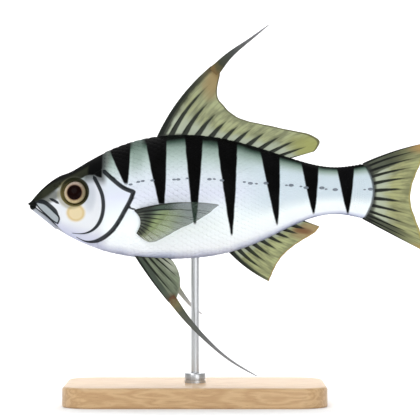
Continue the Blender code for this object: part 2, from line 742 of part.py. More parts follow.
def make_pelvic_fins():
    """The pair under the belly, each with its streamer, the right one swept further back."""
    for word, side, shape in (("left", -1, PELVIC_LEFT), ("right", 1, PELVIC_RIGHT)):
        def root(across):
            x = PELVIC_ROOT[0] + (PELVIC_ROOT[1] - PELVIC_ROOT[0]) * across
            return x, belly_at(x) + ROOT_SINK

        def lateral(x, z, across, t, side=side):
            return side * (PELVIC_OUT + PELVIC_SPLAY * max(0.0, belly_at(x) - z))

        start, _, across = streamer_start(shape["streamer"], shape["width"])
        margin = [tuple(start - across), tuple(start + across), *shape["margin"]]
        fin = fin_solid(f"pelvic_fin_{word}", root, margin, PELVIC_BOW, lateral)
        seat_on_body(fin)
        name = f"pelvic_streamer_{word}"
        streamer_solid(name, shape["streamer"], shape["width"], shape["taper"], lateral)


def make_stand(trunk):
    """A wooden base and a steel rod that enters the belly, with a collar at its foot."""
    belly = FISH_Z + belly_at(-FISH_X)
    rod_top = belly + ROD_INTO_BELLY
    cylinder("stand_rod", ROD_RADIUS, BASE_HEIGHT - BASE_BORE_DEPTH + GAP, rod_top - GAP)
    bore = cylinder("bore", ROD_RADIUS + GAP, belly - BORE_BELOW_BELLY, rod_top)
    boolean(trunk, "DIFFERENCE", [bore])
    collar = cylinder("stand_collar", COLLAR_RADIUS, BASE_HEIGHT + GAP, BASE_HEIGHT + COLLAR_HEIGHT)
    edge = collar.modifiers.new("edge", "BEVEL")
    edge.width = COLLAR_BEVEL * MM
    edge.segments = 2
    bake(collar)
    boolean(collar, "DIFFERENCE", [cylinder("bore", ROD_RADIUS + GAP, 0, PAST_BODY)])
    outline = []
    for centre_x, centre_y, turn in ((1, 1, 0), (-1, 1, 90), (-1, -1, 180), (1, -1, 270)):
        for step in range(CORNER_STEPS + 1):
            angle = math.radians(turn + 90 * step / CORNER_STEPS)
            x = centre_x * (BASE_LENGTH / 2 - BASE_CORNER) + BASE_CORNER * math.cos(angle)
            outline.append((x, centre_y * (BASE_WIDTH / 2 - BASE_CORNER) + BASE_CORNER * math.sin(angle)))
    count = len(outline)
    vertices = [(x, y, z) for z in (0, BASE_HEIGHT) for x, y in outline]
    walls = [(k, (k + 1) % count, count + (k + 1) % count, count + k) for k in range(count)]
    ends = [tuple(range(count)), tuple(range(count, 2 * count))]
    base = make_object("stand_base", vertices, [*walls, *ends], "wood", on_fish=False)
    edge = base.modifiers.new("edge", "BEVEL")
    edge.width = BASE_BEVEL * MM
    edge.segments = 2
    edge.limit_method = "ANGLE"
    bake(base)
    bore_floor = BASE_HEIGHT - BASE_BORE_DEPTH
    boolean(base, "DIFFERENCE", [cylinder("bore", ROD_RADIUS + GAP, bore_floor, PAST_BODY)])


def main():
    for old in list(bpy.data.objects):
        bpy.data.objects.remove(old)
    trunk = make_body()
    make_median_fins()
    make_pectoral_fins()
    make_pelvic_fins()
    make_stand(trunk)
    for made in bpy.context.collection.objects:
        made.data.shade_smooth()
        made.data.set_sharp_from_angle(angle=math.radians(35))


main()
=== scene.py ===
"""The looks of a slender, black-barred, streamer-finned fish on its display stand.

Lengths are in millimetres in the fish's own side view, as the solids have it: x runs back from
the snout's tip and z runs up from the body's axis. FISH_X and FISH_Z place that view over the
stand, and every length becomes metres when a mesh is made.
"""

import math

import bpy
import numpy as np
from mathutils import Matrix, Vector


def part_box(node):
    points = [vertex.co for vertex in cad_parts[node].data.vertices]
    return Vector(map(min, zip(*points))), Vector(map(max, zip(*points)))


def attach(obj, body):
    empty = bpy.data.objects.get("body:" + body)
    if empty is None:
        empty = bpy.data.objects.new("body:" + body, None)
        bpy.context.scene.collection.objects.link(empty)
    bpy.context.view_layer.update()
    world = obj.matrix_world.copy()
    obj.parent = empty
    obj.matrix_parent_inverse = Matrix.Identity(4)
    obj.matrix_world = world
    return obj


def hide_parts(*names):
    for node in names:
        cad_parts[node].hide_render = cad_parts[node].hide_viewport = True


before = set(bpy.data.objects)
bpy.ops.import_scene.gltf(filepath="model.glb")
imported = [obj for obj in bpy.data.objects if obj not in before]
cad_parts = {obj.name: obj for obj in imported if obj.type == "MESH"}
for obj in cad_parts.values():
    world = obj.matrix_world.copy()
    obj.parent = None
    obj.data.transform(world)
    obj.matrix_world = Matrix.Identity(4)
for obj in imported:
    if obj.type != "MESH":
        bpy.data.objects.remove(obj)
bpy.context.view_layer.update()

MM = 0.001
FISH_X = -66.2
FISH_Z = 82.2
PHOTO_PIXELS = 420
PHOTO_PIXEL = 0.4  # a pixel's size at the fish's middle plane
SNOUT_PIXEL = (29.6, 197.0)  # where the photo has x = 0, z = 0

# Body
BODY_END = 134.1
BACK = [
    (0, -3.2), (1.8, -0.3), (4.2, 2.4), (9, 6.5), (12.6, 8.6), (16.2, 9.95), (20.2, 12.2), (28.2, 16.75),
    (44.2, 22.7), (60, 24.7), (76, 23.4), (92, 19.4), (108, 14.4), (122, 11.85), (134.1, 13.2),
]
BELLY = [
    (0, -3.2), (1.8, -5.7), (4.2, -7.8), (9, -11.4), (16.2, -15.9), (28.2, -21.0),
    (44.2, -24.1), (60, -24.6), (76, -22.9), (92, -17.8), (108, -10.2), (122, -6.8), (134.1, -8.6),
]
HALF_WIDTH = [
    (0, 0), (0.6, 1.3), (1.8, 2.2), (4.2, 3.3), (9, 4.8), (16.2, 6.7), (28.2, 8.7),
    (44.2, 9.8), (60, 10.1), (76, 9.3), (92, 7.5), (108, 5.1), (122, 3.3), (134.1, 1.4),
]
KEEL = 0.13  # how much sharper the body's section gets towards the back
PEAR = 0.07  # and how much narrower
TAIL_BULGE = 3.8
BULGE_LENGTH = 12.0
AROUND = 224  # points in each ring of the skin
SNOUT_RINGS = (0.05, 6.0, 44)  # from, to and how many, closest at the tip
HEAD_RINGS = (6.2, 46.0, 0.21)  # from, to and how far apart
BODY_RINGS = (46.3, 116)  # from, and how many to the body's end
SIDES = (("left", -1), ("right", 1))

# Head
EYE = (18.35, 1.8)
EYE_RADIUS = 4.9
EYE_HALF_DEPTH = 2.9
EYE_BULGE = 0.9
PUPIL_RADIUS = 2.95
PUPIL_RISE = 0.22
PUPIL_DOME = 2.7  # how far out that rise reaches
EYE_GRID = (39, 72)  # rings between its poles, and points in each
IRIS_RADIUS = 4.6
RING = (18.4, 2.0)  # the middle of the dark ring round the eye
RING_RADIUS = 5.3
CHEEK_LINE = [
    (25.8, 8.4), (27.8, 4.7), (29.3, 1.2), (29.9, -2.5), (29.6, -6.6), (28.2, -10.3), (25.5, -13.2),
    (22.2, -14.5), (17.3, -14.4),
]
GILL_TOP = [(29.4, 10.8), (32.1, 8.3), (35.2, 5.6), (37.9, 3.6), (41.9, 2.0)]
GILL_GRID = (90, 44)  # points down a gill cover and from its front to its rear
GILL_REAR = [
    (41.9, 2.0), (40.7, -1.2), (38.8, -4.8), (36.5, -8.9), (33.7, -12.9), (30.3, -15.9), (26.7, -17.6),
    (22.8, -17.7), (18.9, -15.9),
]
MAXILLA = [(2.4, -2.2), (5.5, -1.9), (8.6, -3.8), (11.0, -6.3), (12.2, -8.7), (11.5, -10.6)]
MAXILLA_UNDER = [(11.5, -10.6), (9.8, -9.6), (7.2, -7.3), (4.4, -4.7), (2.4, -2.2)]
GAPE = [(0, -3.5), (1.5, -3.8), (3.7, -5.2), (7.4, -8.0), (10.4, -10.9), (12.4, -12.7)]
TEAR_LINE = [(8.0, -0.5), (10.4, -1.6), (12.4, -2.9)]
NOSTRILS = [(10.2, 4.2, 0.6), (12.4, 5.2, 0.5)]
CAP_EDGE = [
    (0, -3.4), (2.6, -3.0), (4.6, -2.0), (8.0, 0.2), (11.2, 2.8), (14.0, 4.9), (17.6, 6.6), (20.8, 7.2),
    (23.6, 8.5), (25.8, 8.6), (27.8, 7.7), (30.0, 7.5),
]
CHEEK_PATCH = (18.9, -6.3)
SNOUT_PATCH = (8.2, 0.2)
FIN_LINE = [(38.9, -4.3), (40.6, -4.4), (43.0, -5.2)]
LATERAL_LINE = [
    (40.7, 4.9), (46, 6.3), (57.8, 7.0), (69.6, 7.1), (78.2, 6.4), (86.7, 5.6), (92.6, 5.3), (103.9, 4.5),
    (111.4, 3.8), (121, 3.1), (133.0, 3.2),
]

# Colours from the belly's keel to the ridge of the back
FLANK_TONES = [
    (0.0, (0.52, 0.55, 0.66)), (0.03, (0.78, 0.81, 0.89)), (0.08, (0.94, 0.965, 0.99)),
    (0.24, (0.955, 0.99, 0.995)), (0.36, (0.93, 0.965, 0.98)), (0.52, (0.87, 0.89, 0.95)),
    (0.68, (0.84, 0.88, 0.91)), (0.80, (0.71, 0.78, 0.765)), (0.895, (0.54, 0.62, 0.585)),
    (0.945, (0.25, 0.33, 0.29)), (0.972, (0.04, 0.06, 0.05)),
]

SCALES_START = 28.8
SCALES_END = 133.5
SCALE_ROWS = 26
SCALE_STEP = 0.72  # of the rows' pitch, along the body
SCALE_GAP = 0.1  # on top of that
GILL_GAP = 0.9  # the bare strip behind the gill cover
SCALE_SIZE = (1.95, 1.25, 0.13)  # for a pitch of 1: length, width and thickness
SCALE_TILT = 2.2
SCALE_LIFT = 0.02
PORES = 34
PORE_SIZE = (2.0, 1.05, 0.4)
PORE_LIFT = 0.14

# Bars: left and right of the top, its height, and the tip's place and half-width
BARS = [
    (31.6, 40.3, 20.4, 38.95, 4.9, 0.55),
    (46.3, 54.8, 24.0, 53.1, -3.2, 1.0),
    (62.2, 69.3, 24.3, 66.2, -10.8, 0.4),
    (75.0, 83.0, 22.8, 80.8, -15.3, 0.3),
    (92.3, 99.9, 18.2, 98.9, -11.2, 0.3),
    (108.7, 115.4, 13.2, 113.5, -6.8, 0.35),
    (122.9, 129.7, 12.1, 127.2, -6.8, 0.3),
]
BAR_SWELL = 0.3  # how far a bar's sides bow out at mid-height

# Fins; ROOTS has the x at which each ray leaves the body, and for
# the tail fin the height there, from 1 at the back to -1 at the belly
ROOT_SINK = 0.9
DORSAL_ROOTS = [51.1, 55.4, 60.6, 65.8, 71.2, 76.4, 81.2, 86.0, 90.8, 95.0, 98.8, 102.6]
DORSAL_STREAMER = [(74.6, 51.1), (79.3, 56.1), (86.1, 61.5), (95.7, 68.9)]
DORSAL_STREAMER_WIDTH = 4.4
DORSAL_STREAMER_TAPER = 2.0
DORSAL_MARGIN = [
    (75.0, 42.0), (77.5, 36.8), (81.2, 33.2), (85.8, 30.9), (91.0, 29.6),
    (97.0, 28.4), (103.8, 26.9), (111.1, 25.4), (116.0, 22.4), (114.0, 18.3),
]
DORSAL_BOW = (0.06, 0.0)
ANAL_ROOTS = [79.5, 82.5, 85.5, 88.6, 91.7, 94.7, 97.6, 100.4, 103.5, 108.3]
ANAL_MARGIN = [
    (95.8, -33.7), (96.8, -31.2), (98.1, -28.3), (99.7, -25.5), (101.9, -22.8),
    (104.7, -20.3), (107.8, -18.1), (111.1, -16.1), (114.2, -14.1), (116.0, -11.8),
]
ANAL_BOW = (-0.05, 0.0)
TAIL_ROOTS = [1.0, 0.89, 0.71, 0.52, 0.27, 0.01, -0.26, -0.51, -0.73, -0.86, -0.94, -1.0]
TAIL_MARGIN = [
    (159.8, 21.8), (158.8, 19.2), (157.5, 16.1), (155.9, 12.2), (154.1, 7.9), (152.7, 3.1),
    (152.5, -2.4), (153.9, -7.4), (155.8, -12.5), (157.4, -16.8), (158.6, -20.0), (159.4, -22.4),
]
TAIL_BOW = (0.033, -0.004)
PECTORAL_ROOT = [(42.4, -5.5), (44.2, -7.6), (44.8, -10.6), (43.3, -14.3)]
PECTORAL_MARGIN = [
    (75.8, -3.2), (71.9, -6.4), (67.6, -9.1), (63.4, -11.2), (59.5, -13.0),
    (56.2, -14.9), (53.2, -16.5), (50.7, -17.6), (48.3, -17.9), (46.2, -17.0),
]
PECTORAL_BOW = (0.058, -0.03)
PECTORAL_FLARE = math.tan(math.radians(17))
PECTORAL_LIFT = 0.7
PECTORAL_LOBE = (41.9, -9.6)
LOBE_SIZE = (3.1, 5.0)
LOBE_CLEAR = (3.6, 5.6)  # the oval round it without scales
PELVIC_ROOTS = [42.3, 54.8]
PELVIC_RAYS = 6
PELVIC_BOW = (-0.02, 0.01)
PELVIC_OUT = 2.5
PELVIC_SPLAY = math.tan(math.radians(17))
PELVIC_LEFT = {
    "streamer": [(57.5, -41.1), (61.6, -46.6), (66.7, -52.4), (72.6, -58.2), (79.7, -64.0), (90.5, -70.3)],
    "width": 3.5,
    "taper": 2.0,
    "margin": [(60.0, -36.6), (60.3, -32.8), (59.4, -29.2), (57.5, -25.9)],
}
PELVIC_RIGHT = {
    "streamer": [(59.2, -36.8), (62.3, -41.0), (65.2, -44.3), (69.3, -47.5)],
    "width": 2.3,
    "taper": 1.2,
    "margin": [(60.0, -33.6), (59.6, -30.9), (58.8, -28.3), (57.4, -25.9)],
}
# Along a streamer behind its joint: the place, the share that it gets of how much paler a
# streamer is, and the colour
STREAMER_TONES = [
    (0.08, 1, (0.34, 0.31, 0.18)), (0.15, 1, (0.20, 0.21, 0.15)), (0.38, 1, (0.25, 0.26, 0.25)),
    (0.72, 1, (0.42, 0.42, 0.43)), (1.0, 0.5, (0.53, 0.53, 0.56)),
]
STREAMER_TIP_WIDTH = 0.8
STREAMER_OVERLAP = 1.6  # how far it reaches into its fin
STREAMER_THICKNESS = (0.7, 0.34)  # at its root and at its tip
STREAMER_RINGS = 110
STREAMER_SIDES = 14
WEB_THICKNESS = 0.34
WEB_FOOT = 0.35  # how much further each face stands out at the root
WEB_NOTCH = 0.008  # how far the margin draws in between two rays, as a share of their length
WEB_PLEAT = 0.03
WEB_ROWS = 44  # points along each ray
WEB_COLUMNS = 8  # and from one ray to the next
RAY_POINTS = 30
RAY_TIP = 0.26  # of a ray's width at its foot
FORK_START = 0.55  # of a ray's length
FORK_SPREAD = 0.14  # of the distance to the next ray

# Stand
BASE_CORNER = 12.0
BASE_BEVEL = 1.4
BASE_FOOT = 0.5  # the bevel underneath
TURNED_SIDES = 64
SHARP_ANGLE = math.radians(30)


def smooth_curve(knots, values):
    """The natural cubic through the values at the knots, as a function of a number or an array."""
    knots = np.array(knots, float)
    values = np.array(values, float)
    step = np.diff(knots)
    slope = np.diff(values) / step
    count = len(knots)
    system = np.eye(count)
    right = np.zeros(count)
    for i in range(1, count - 1):
        system[i, i - 1:i + 2] = step[i - 1], 2 * (step[i - 1] + step[i]), step[i]
        right[i] = 6 * (slope[i] - slope[i - 1])
    bend = np.linalg.solve(system, right)

    def at(x):
        x = np.asarray(x, float)
        i = np.clip(np.searchsorted(knots, x) - 1, 0, count - 2)
        near, far = x - knots[i], knots[i + 1] - x
        curved = (bend[i] * far ** 3 + bend[i + 1] * near ** 3) / (6 * step[i])
        start = values[i] / step[i] - bend[i] * step[i] / 6
        end = values[i + 1] / step[i] - bend[i + 1] * step[i] / 6
        return curved + start * far + end * near

    return at


def curve_through(points, knots):
    """A smooth curve through points, as a function of their knots."""
    axes = [smooth_curve(knots, axis) for axis in np.array(points, float).T]
    return lambda at: np.stack([axis(at) for axis in axes], -1)


def nose_curve(points):
    """A curve of x that leaves the snout's tip at a right angle, so that the nose is round."""
    x, heights = np.array(points, float).T
    curve = smooth_curve(np.sqrt(x), heights)
    return lambda x: curve(np.sqrt(np.maximum(x, 0.0)))


back_at = nose_curve(BACK)
belly_at = nose_curve(BELLY)
width_at = nose_curve(HALF_WIDTH)


def lengths_along(line):
    """How far along a line each of its points is."""
    return np.concatenate([[0], np.cumsum(np.linalg.norm(np.diff(line, axis=0), axis=1))])


def run_curve(line):
    """A smooth curve through a line's points, as a function of the share of its length."""
    reach = lengths_along(line)
    return curve_through(line, reach / reach[-1])


def resampled(line, count):
    """That curve as a list of evenly spread points."""
    return run_curve(line)(np.linspace(0, 1, count))


def soft_step(value, low, high):
    """0 below low, 1 above high and a smooth rise between."""
    share = np.clip((value - low) / (high - low), 0, 1)
    return share * share * (3 - 2 * share)


def bell(value, middle, width):
    """A rounded ridge: 1 where a value is at the middle, falling to 0 over about two widths."""
    return np.exp(-((value - middle) / width) ** 2)


def oval(x, z, middle, half):
    """A place's squared distance from an oval's middle, 1 at its edge; for numbers and sockets."""
    return ((x - middle[0]) / half[0]) ** 2 + ((z - middle[1]) / half[1]) ** 2


def away(x, z, place):
    """A place's distance from another; for numbers and sockets."""
    return ((x - place[0]) ** 2 + (z - place[1]) ** 2) ** 0.5


def unit(vectors):
    """Vectors brought to a length of 1."""
    return vectors / np.linalg.norm(vectors, axis=-1, keepdims=True)


def turns(count):
    """Even angles once round."""
    return np.linspace(0, 2 * np.pi, count, endpoint=False)


def body_surface(x, angle):
    """Points of the body's surface at stations and at angles from the back, right side positive."""
    top, bottom = back_at(x), belly_at(x)
    up, out = np.cos(angle), np.sin(angle)
    side = np.abs(out) ** (1 + KEEL * up) * (1 - PEAR * up)
    near_end = np.clip(1 - (BODY_END - x) / BULGE_LENGTH, 0, 1)
    bulge = TAIL_BULGE * near_end ** 2 * (3 - 2 * near_end) * (1 - up * up)
    middle, half = (top + bottom) / 2, (top - bottom) / 2
    return np.stack([x + bulge, width_at(x) * side * np.sign(out), middle + half * up], -1)


def body_normal(x, angle):
    """The way out of the body there."""
    reach = 0.02
    along = body_surface(x + reach, angle) - body_surface(np.maximum(x - reach, 0), angle)
    return unit(np.cross(along, body_surface(x, angle + reach) - body_surface(x, angle - reach)))


def height_share(x, z, limit):
    """A place's height on the body, from -1 at the belly to 1 at the back."""
    top, bottom = back_at(x), belly_at(x)
    return np.clip((2 * z - top - bottom) / (top - bottom), -limit, limit)


def body_angle(x, z, side):
    """The angle from the back at which the body's side has a height, -1 being the left side."""
    return np.arccos(height_share(x, z, 0.998)) * side


def on_side(x, z, side, lift=0.0):
    """Points over the body's side at places in side view, lifted off it by a distance."""
    angle = body_angle(x, z, side)
    return body_surface(x, angle) + body_normal(x, angle) * np.broadcast_to(lift, x.shape)[..., None]


def line_field(x, z, line):
    """Each place's distance to a line, positive on the left of its run, and the share of its run."""
    best = np.full(np.shape(x), 1e9)
    share = np.zeros(np.shape(x))
    last = len(line) - 1
    for i, ((ax, az), (bx, bz)) in enumerate(zip(line, line[1:])):
        ux, uz = bx - ax, bz - az
        along = np.clip(((x - ax) * ux + (z - az) * uz) / (ux * ux + uz * uz), 0, 1)
        gap = np.hypot(x - ax - along * ux, z - az - along * uz)
        left = np.where(ux * (z - az) - uz * (x - ax) < 0, -1, 1)
        closer = gap < np.abs(best)
        best = np.where(closer, gap * left, best)
        share = np.where(closer, (i + along) / last, share)
    return best, share


def ends_fade(share, head, foot):
    """1 along a line, falling to 0 over shares of its run at its two ends."""
    return soft_step(share, 0, head) * soft_step(1 - share, 0, foot)


def bar_sides(bar, z):
    """How far down a bar a height is, 1 being its tip, and its two sides there."""
    left, right, top, tip_x, tip_z, half = bar
    drop = (top - z) / (top - tip_z)
    return drop, left + drop * (tip_x - half - left), right + drop * (tip_x + half - right)


cheek_line = resampled(CHEEK_LINE, 40)
gill_line = np.concatenate([resampled(GILL_TOP, 16)[:-1], resampled(GILL_REAR, 36)])
maxilla_line = np.concatenate([resampled(MAXILLA, 18)[:-1], resampled(MAXILLA_UNDER, 14)])
maxilla_top = resampled(MAXILLA[:5], 18)
gape_line = resampled(GAPE, 20)
tear_line = resampled(TEAR_LINE, 8)

# The head's dark lines: half-width, and the shares of the run over which the ends taper
INK_LINES = [
    (cheek_line, 0.68, 0.03, 0.45), (gill_line, 0.8, 0.02, 0.25), (maxilla_top, 0.8, 0.2, 0.3),
    (maxilla_line, 0.28, 0.01, 0.01), (gape_line, 0.2, 0.01, 0.2), (tear_line, 0.5, 0.3, 0.3),
    (FIN_LINE, 0.35, 0.1, 0.1),
]


def skin_relief(x, z):
    """How far the skin stands off the plain body, from the folds and edges of the head."""
    cheek, share = line_field(x, z, cheek_line)
    lift = 0.55 * ends_fade(share, 0.1, 0.3) * soft_step(-cheek, -0.1, 0.25) * bell(cheek, 0, 6)
    gill, share = line_field(x, z, gill_line)
    lift -= 0.45 * ends_fade(share, 0.05, 0.1) * bell(gill, 0.1, 0.7)
    gape, share = line_field(x, z, gape_line)
    lips = 0.35 * bell(np.abs(gape), 0.95, 0.6)
    lift += (lips - 0.55 * bell(gape, 0, 0.28)) * soft_step(1 - share, 0, 0.15)
    leaf, _ = line_field(x, z, maxilla_line)
    lift += 0.4 * soft_step(-leaf, -0.15, 0.3) - 0.2 * bell(leaf, 0.2, 0.25)
    tear, share = line_field(x, z, tear_line)
    lift -= 0.25 * ends_fade(share, 0.3, 0.3) * bell(tear, 0, 0.35)
    reach = away(x, z, EYE)
    lift += 0.55 * bell(reach, EYE_RADIUS + 0.7, 0.5)
    lift -= 1.6 * soft_step(-reach, -EYE_RADIUS - 0.2, -EYE_RADIUS + 0.3)
    for *pit, radius in NOSTRILS:
        reach = away(x, z, pit)
        lift += 0.22 * bell(reach, radius * 1.35, 0.3) - 0.7 * bell(reach, 0, radius)
    return lift + np.exp(-oval(x, z, PECTORAL_LOBE, LOBE_SIZE) ** 1.5)


def ink_distance(x, z):
    """How far each place is from the head's dark lines, as a multiple of the line's half-width."""
    far = np.full(np.shape(x), 9.0)
    for line, half, head, foot in INK_LINES:
        gap, share = line_field(x, z, line)
        far = np.minimum(far, np.abs(gap) / (half * (0.15 + 0.85 * ends_fade(share, head, foot))))
    return far


def add_object(name, data):
    """Puts a mesh, a lamp or a camera into the scene."""
    made = bpy.data.objects.new(name, data)
    bpy.context.collection.objects.link(made)
    return made


def new_piece(name, points, faces, material=None, edges=(), on_fish=True):
    """A smooth-shaded object from points in millimetres."""
    points = np.asarray(points, float).reshape(-1, 3)
    if on_fish:
        points = points + (FISH_X, 0, FISH_Z)
    mesh = bpy.data.meshes.new(name)
    mesh.from_pydata((points * MM).tolist(), list(edges), faces)
    mesh.shade_smooth()
    if material:
        mesh.materials.append(material)
    return add_object(name, mesh)


def vertex_points(mesh):
    """The places of a mesh's vertices, in metres."""
    points = np.zeros(len(mesh.vertices) * 3, np.float32)
    mesh.vertices.foreach_get("co", points)
    return points.reshape(-1, 3).astype(float)


def turned_outwards(piece):
    """Flips a closed mesh's faces where its volume comes out negative."""
    mesh = piece.data
    mesh.calc_loop_triangles()
    corners = np.zeros(len(mesh.loop_triangles) * 3, np.int32)
    mesh.loop_triangles.foreach_get("vertices", corners)
    first, second, third = vertex_points(mesh)[corners].reshape(-1, 3, 3).transpose(1, 0, 2)
    if (first * np.cross(second, third)).sum() < 0:
        mesh.flip_normals()
    return piece


def set_attribute(piece, name, values):
    """Stores a number or a vector for each vertex."""
    values = np.asarray(values, np.float32)
    kind, field = ("FLOAT", "value") if values.ndim == 1 else ("FLOAT_VECTOR", "vector")
    piece.data.attributes.new(name, kind, "POINT").data.foreach_set(field, values.ravel())


def add_skin_marks(piece):
    """Stores what the skin's paint follows: height from belly to back, and distance from dark lines."""
    points = vertex_points(piece.data) / MM
    x, z = points[:, 0] - FISH_X, points[:, 2] - FISH_Z
    set_attribute(piece, "height", height_share(np.clip(x, 0.4, BODY_END), z, 1.1))
    set_attribute(piece, "ink", ink_distance(x, z))
    set_attribute(piece, "leaf", -line_field(x, z, maxilla_line)[0])


def settle(piece, slot, *nodes):
    """Lets a piece ride on the model and stand for CAD nodes."""
    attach(piece, "root")
    if nodes:
        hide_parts(*nodes)
    return piece


def grid_faces(wide, long, start=0):
    """Quads of a grid of points, stored row by row."""
    return [
        (here + j, here + long + j, here + long + j + 1, here + j + 1)
        for here in range(start, start + (wide - 1) * long, long) for j in range(long - 1)]


def ring_faces(rings, sides, start=0):
    """Quads between closed rings of points, stored ring by ring."""
    return [
        (here + k, here + (k + 1) % sides, here + sides + (k + 1) % sides, here + sides + k)
        for here in range(start, start + (rings - 1) * sides, sides) for k in range(sides)]


def fan_faces(tip, start, sides):
    """Triangles from a tip to a ring of points."""
    return [(tip, start + (k + 1) % sides, start + k) for k in range(sides)]


def tube_faces(rings, sides):
    """A tube's quads and its two flat ends."""
    last = (rings - 1) * sides
    return ring_faces(rings, sides) + [tuple(range(sides))[::-1], tuple(range(last, last + sides))]


def sheet_piece(name, upper, lower, material):
    """A closed thin sheet between two grids of points."""
    wide, long = upper.shape[:2]
    under = wide * long
    faces = grid_faces(wide, long) + [face[::-1] for face in grid_faces(wide, long, under)]
    rim = [i * long for i in range(wide)]
    rim += [(wide - 1) * long + j for j in range(1, long)]
    rim += [i * long + long - 1 for i in range(wide - 2, -1, -1)]
    rim += list(range(long - 2, 0, -1))
    faces += [(b, a, under + a, under + b) for a, b in zip(rim, rim[1:] + rim[:1])]
    return turned_outwards(new_piece(name, np.stack([upper, lower]), faces, material))


def math_method(operation):
    """A method that adds a Math node for its value and what it is given."""
    return lambda *values: values[0].math(operation, *values)


def reflected(operation):
    """The same for a number on the operator's left."""
    return lambda value, other: value.math(operation, other, value)


class Value:
    """A socket of a node tree, on which Python's operators add Math nodes."""

    def __init__(self, tree, socket):
        self.tree = tree
        self.socket = socket

    def math(self, operation, *values):
        return self.tree.node("ShaderNodeMath", {"operation": operation}, dict(enumerate(values)))

    __add__, __radd__ = math_method("ADD"), reflected("ADD")
    __sub__, __rsub__ = math_method("SUBTRACT"), reflected("SUBTRACT")
    __mul__, __rmul__ = math_method("MULTIPLY"), reflected("MULTIPLY")
    __truediv__, __pow__ = math_method("DIVIDE"), math_method("POWER")
    __abs__, wave = math_method("ABSOLUTE"), math_method("SINE")
    least, most = math_method("MINIMUM"), math_method("MAXIMUM")

    def off_whole(self):
        """How far the value is from the nearest whole number."""
        return abs(self - self.math("ROUND", self))


def as_light(colour):
    """A colour given as a screen shows it, as the light that Blender counts in."""
    return [((c + 0.055) / 1.055) ** 2.4 if c > 0.04045 else c / 12.92 for c in colour] + [1.0]


class Tree:
    """A node tree that is written as expressions."""

    def __init__(self, tree):
        self.tree = tree

    def node(self, kind, settings=None, inputs=None, output=0):
        """Adds a node, with its settings first and then its sockets' values or links."""
        made = self.tree.nodes.new(kind)
        for key, value in (settings or {}).items():
            if key == "stops":
                self.set_stops(made.color_ramp.elements, value)
            elif key == "points":
                self.set_points(made.mapping, value)
            else:
                setattr(made, key, value)
        for key, value in (inputs or {}).items():
            socket = made.inputs[key]
            if isinstance(value, Value):
                self.tree.links.new(value.socket, socket)
            else:
                socket.default_value = as_light(value) if socket.type == "RGBA" else value
        if output is not None:
            return Value(self, made.outputs[output])

    def vector(self, x, y, z):
        return self.node("ShaderNodeCombineXYZ", inputs={0: x, 1: y, 2: z})

    def set_stops(self, elements, stops):
        while len(elements) < len(stops):
            elements.new(1.0)
        for element, (place, colour) in zip(elements, stops):
            element.position = place
            element.color = as_light(colour)

    def set_points(self, mapping, points):
        curve = mapping.curves[0]
        while len(curve.points) < len(points):
            curve.points.new(1.0, 1.0)
        for point, place in zip(curve.points, points):
            point.location = place
        mapping.update()


class Paint(Tree):
    """A material with one Principled shader, its colour built up in coats."""

    def __init__(self, name):
        self.material = bpy.data.materials.new(name)
        self.material.use_nodes = True
        super().__init__(self.material.node_tree)
        self.tree.nodes.clear()

    def place(self):
        """x and z in the fish's side view."""
        split = self.node("ShaderNodeSeparateXYZ", inputs={0: self.node("ShaderNodeTexCoord", output=3)})
        x, _, z = (Value(self, output) for output in split.socket.node.outputs)
        return x * 1000 - FISH_X, z * 1000 - FISH_Z

    def attribute(self, name):
        return self.node("ShaderNodeAttribute", {"attribute_name": name}, output=2)

    def soft(self, value, low, high):
        """0 below low, 1 above high and a smooth rise between."""
        values = {0: value, 1: low, 2: high, 3: 0.0, 4: 1.0}
        return self.node("ShaderNodeMapRange", {"interpolation_type": "SMOOTHSTEP"}, values)

    def noise(self, scale, detail=3.0, stretch=(1, 1, 1), roughness=0.5):
        """Noise over the object, in cells of scale to the metre, squeezed along each axis by stretch."""
        coordinates = self.node("ShaderNodeTexCoord", output=3)
        squeezed = self.node("ShaderNodeMapping", inputs={0: coordinates, 3: stretch})
        return self.streaks(squeezed, scale, detail, roughness)

    def streaks(self, place, scale, detail=3.0, roughness=0.5):
        """Noise over a place that is worked out for it."""
        values = {"Vector": place, "Scale": scale, "Detail": detail, "Roughness": roughness}
        return self.node("ShaderNodeTexNoise", {"noise_dimensions": "3D"}, values)

    def mix(self, share, first, second):
        """The first colour turning into the second."""
        return self.node("ShaderNodeMix", {"data_type": "RGBA"}, {0: share, 6: first, 7: second}, output=2)

    def ramp(self, value, stops):
        """The first coat: colours at stops along a value."""
        self.colour = self.node("ShaderNodeValToRGB", {"stops": stops}, {0: value})

    def coat(self, mask, tone):
        """Lays a tone over the colour so far where a mask is 1."""
        self.colour = self.mix(mask, self.colour, tone)

    def curve(self, value, points):
        """A height that follows points of (x, height) over a value."""
        xs, heights = zip(*points)
        low, span, length = min(heights), max(heights) - min(heights), xs[-1] - xs[0]
        scaled = [((x - xs[0]) / length, (height - low) / span) for x, height in points]
        share = (value - xs[0]) / length
        return self.node("ShaderNodeFloatCurve", {"points": scaled}, {0: 1.0, 1: share}) * span + low

    def bump(self, height, depth, under=None):
        """A Bump node of a depth in millimetres, over another bump."""
        inputs = {"Strength": 1.0, "Distance": depth * MM, "Height": height}
        if under:
            inputs["Normal"] = under
        return self.node("ShaderNodeBump", inputs=inputs)

    def finish(self, roughness, bump=None, **sockets):
        """Joins the shader to the output; further sockets are named with _ for a space."""
        inputs = {"Base Color": self.colour, "Roughness": roughness}
        inputs.update((name.replace("_", " "), value) for name, value in sockets.items())
        if bump:
            inputs["Normal"] = bump
        shader = self.node("ShaderNodeBsdfPrincipled", inputs=inputs)
        self.node("ShaderNodeOutputMaterial", inputs={"Surface": shader}, output=None)
        return self.material


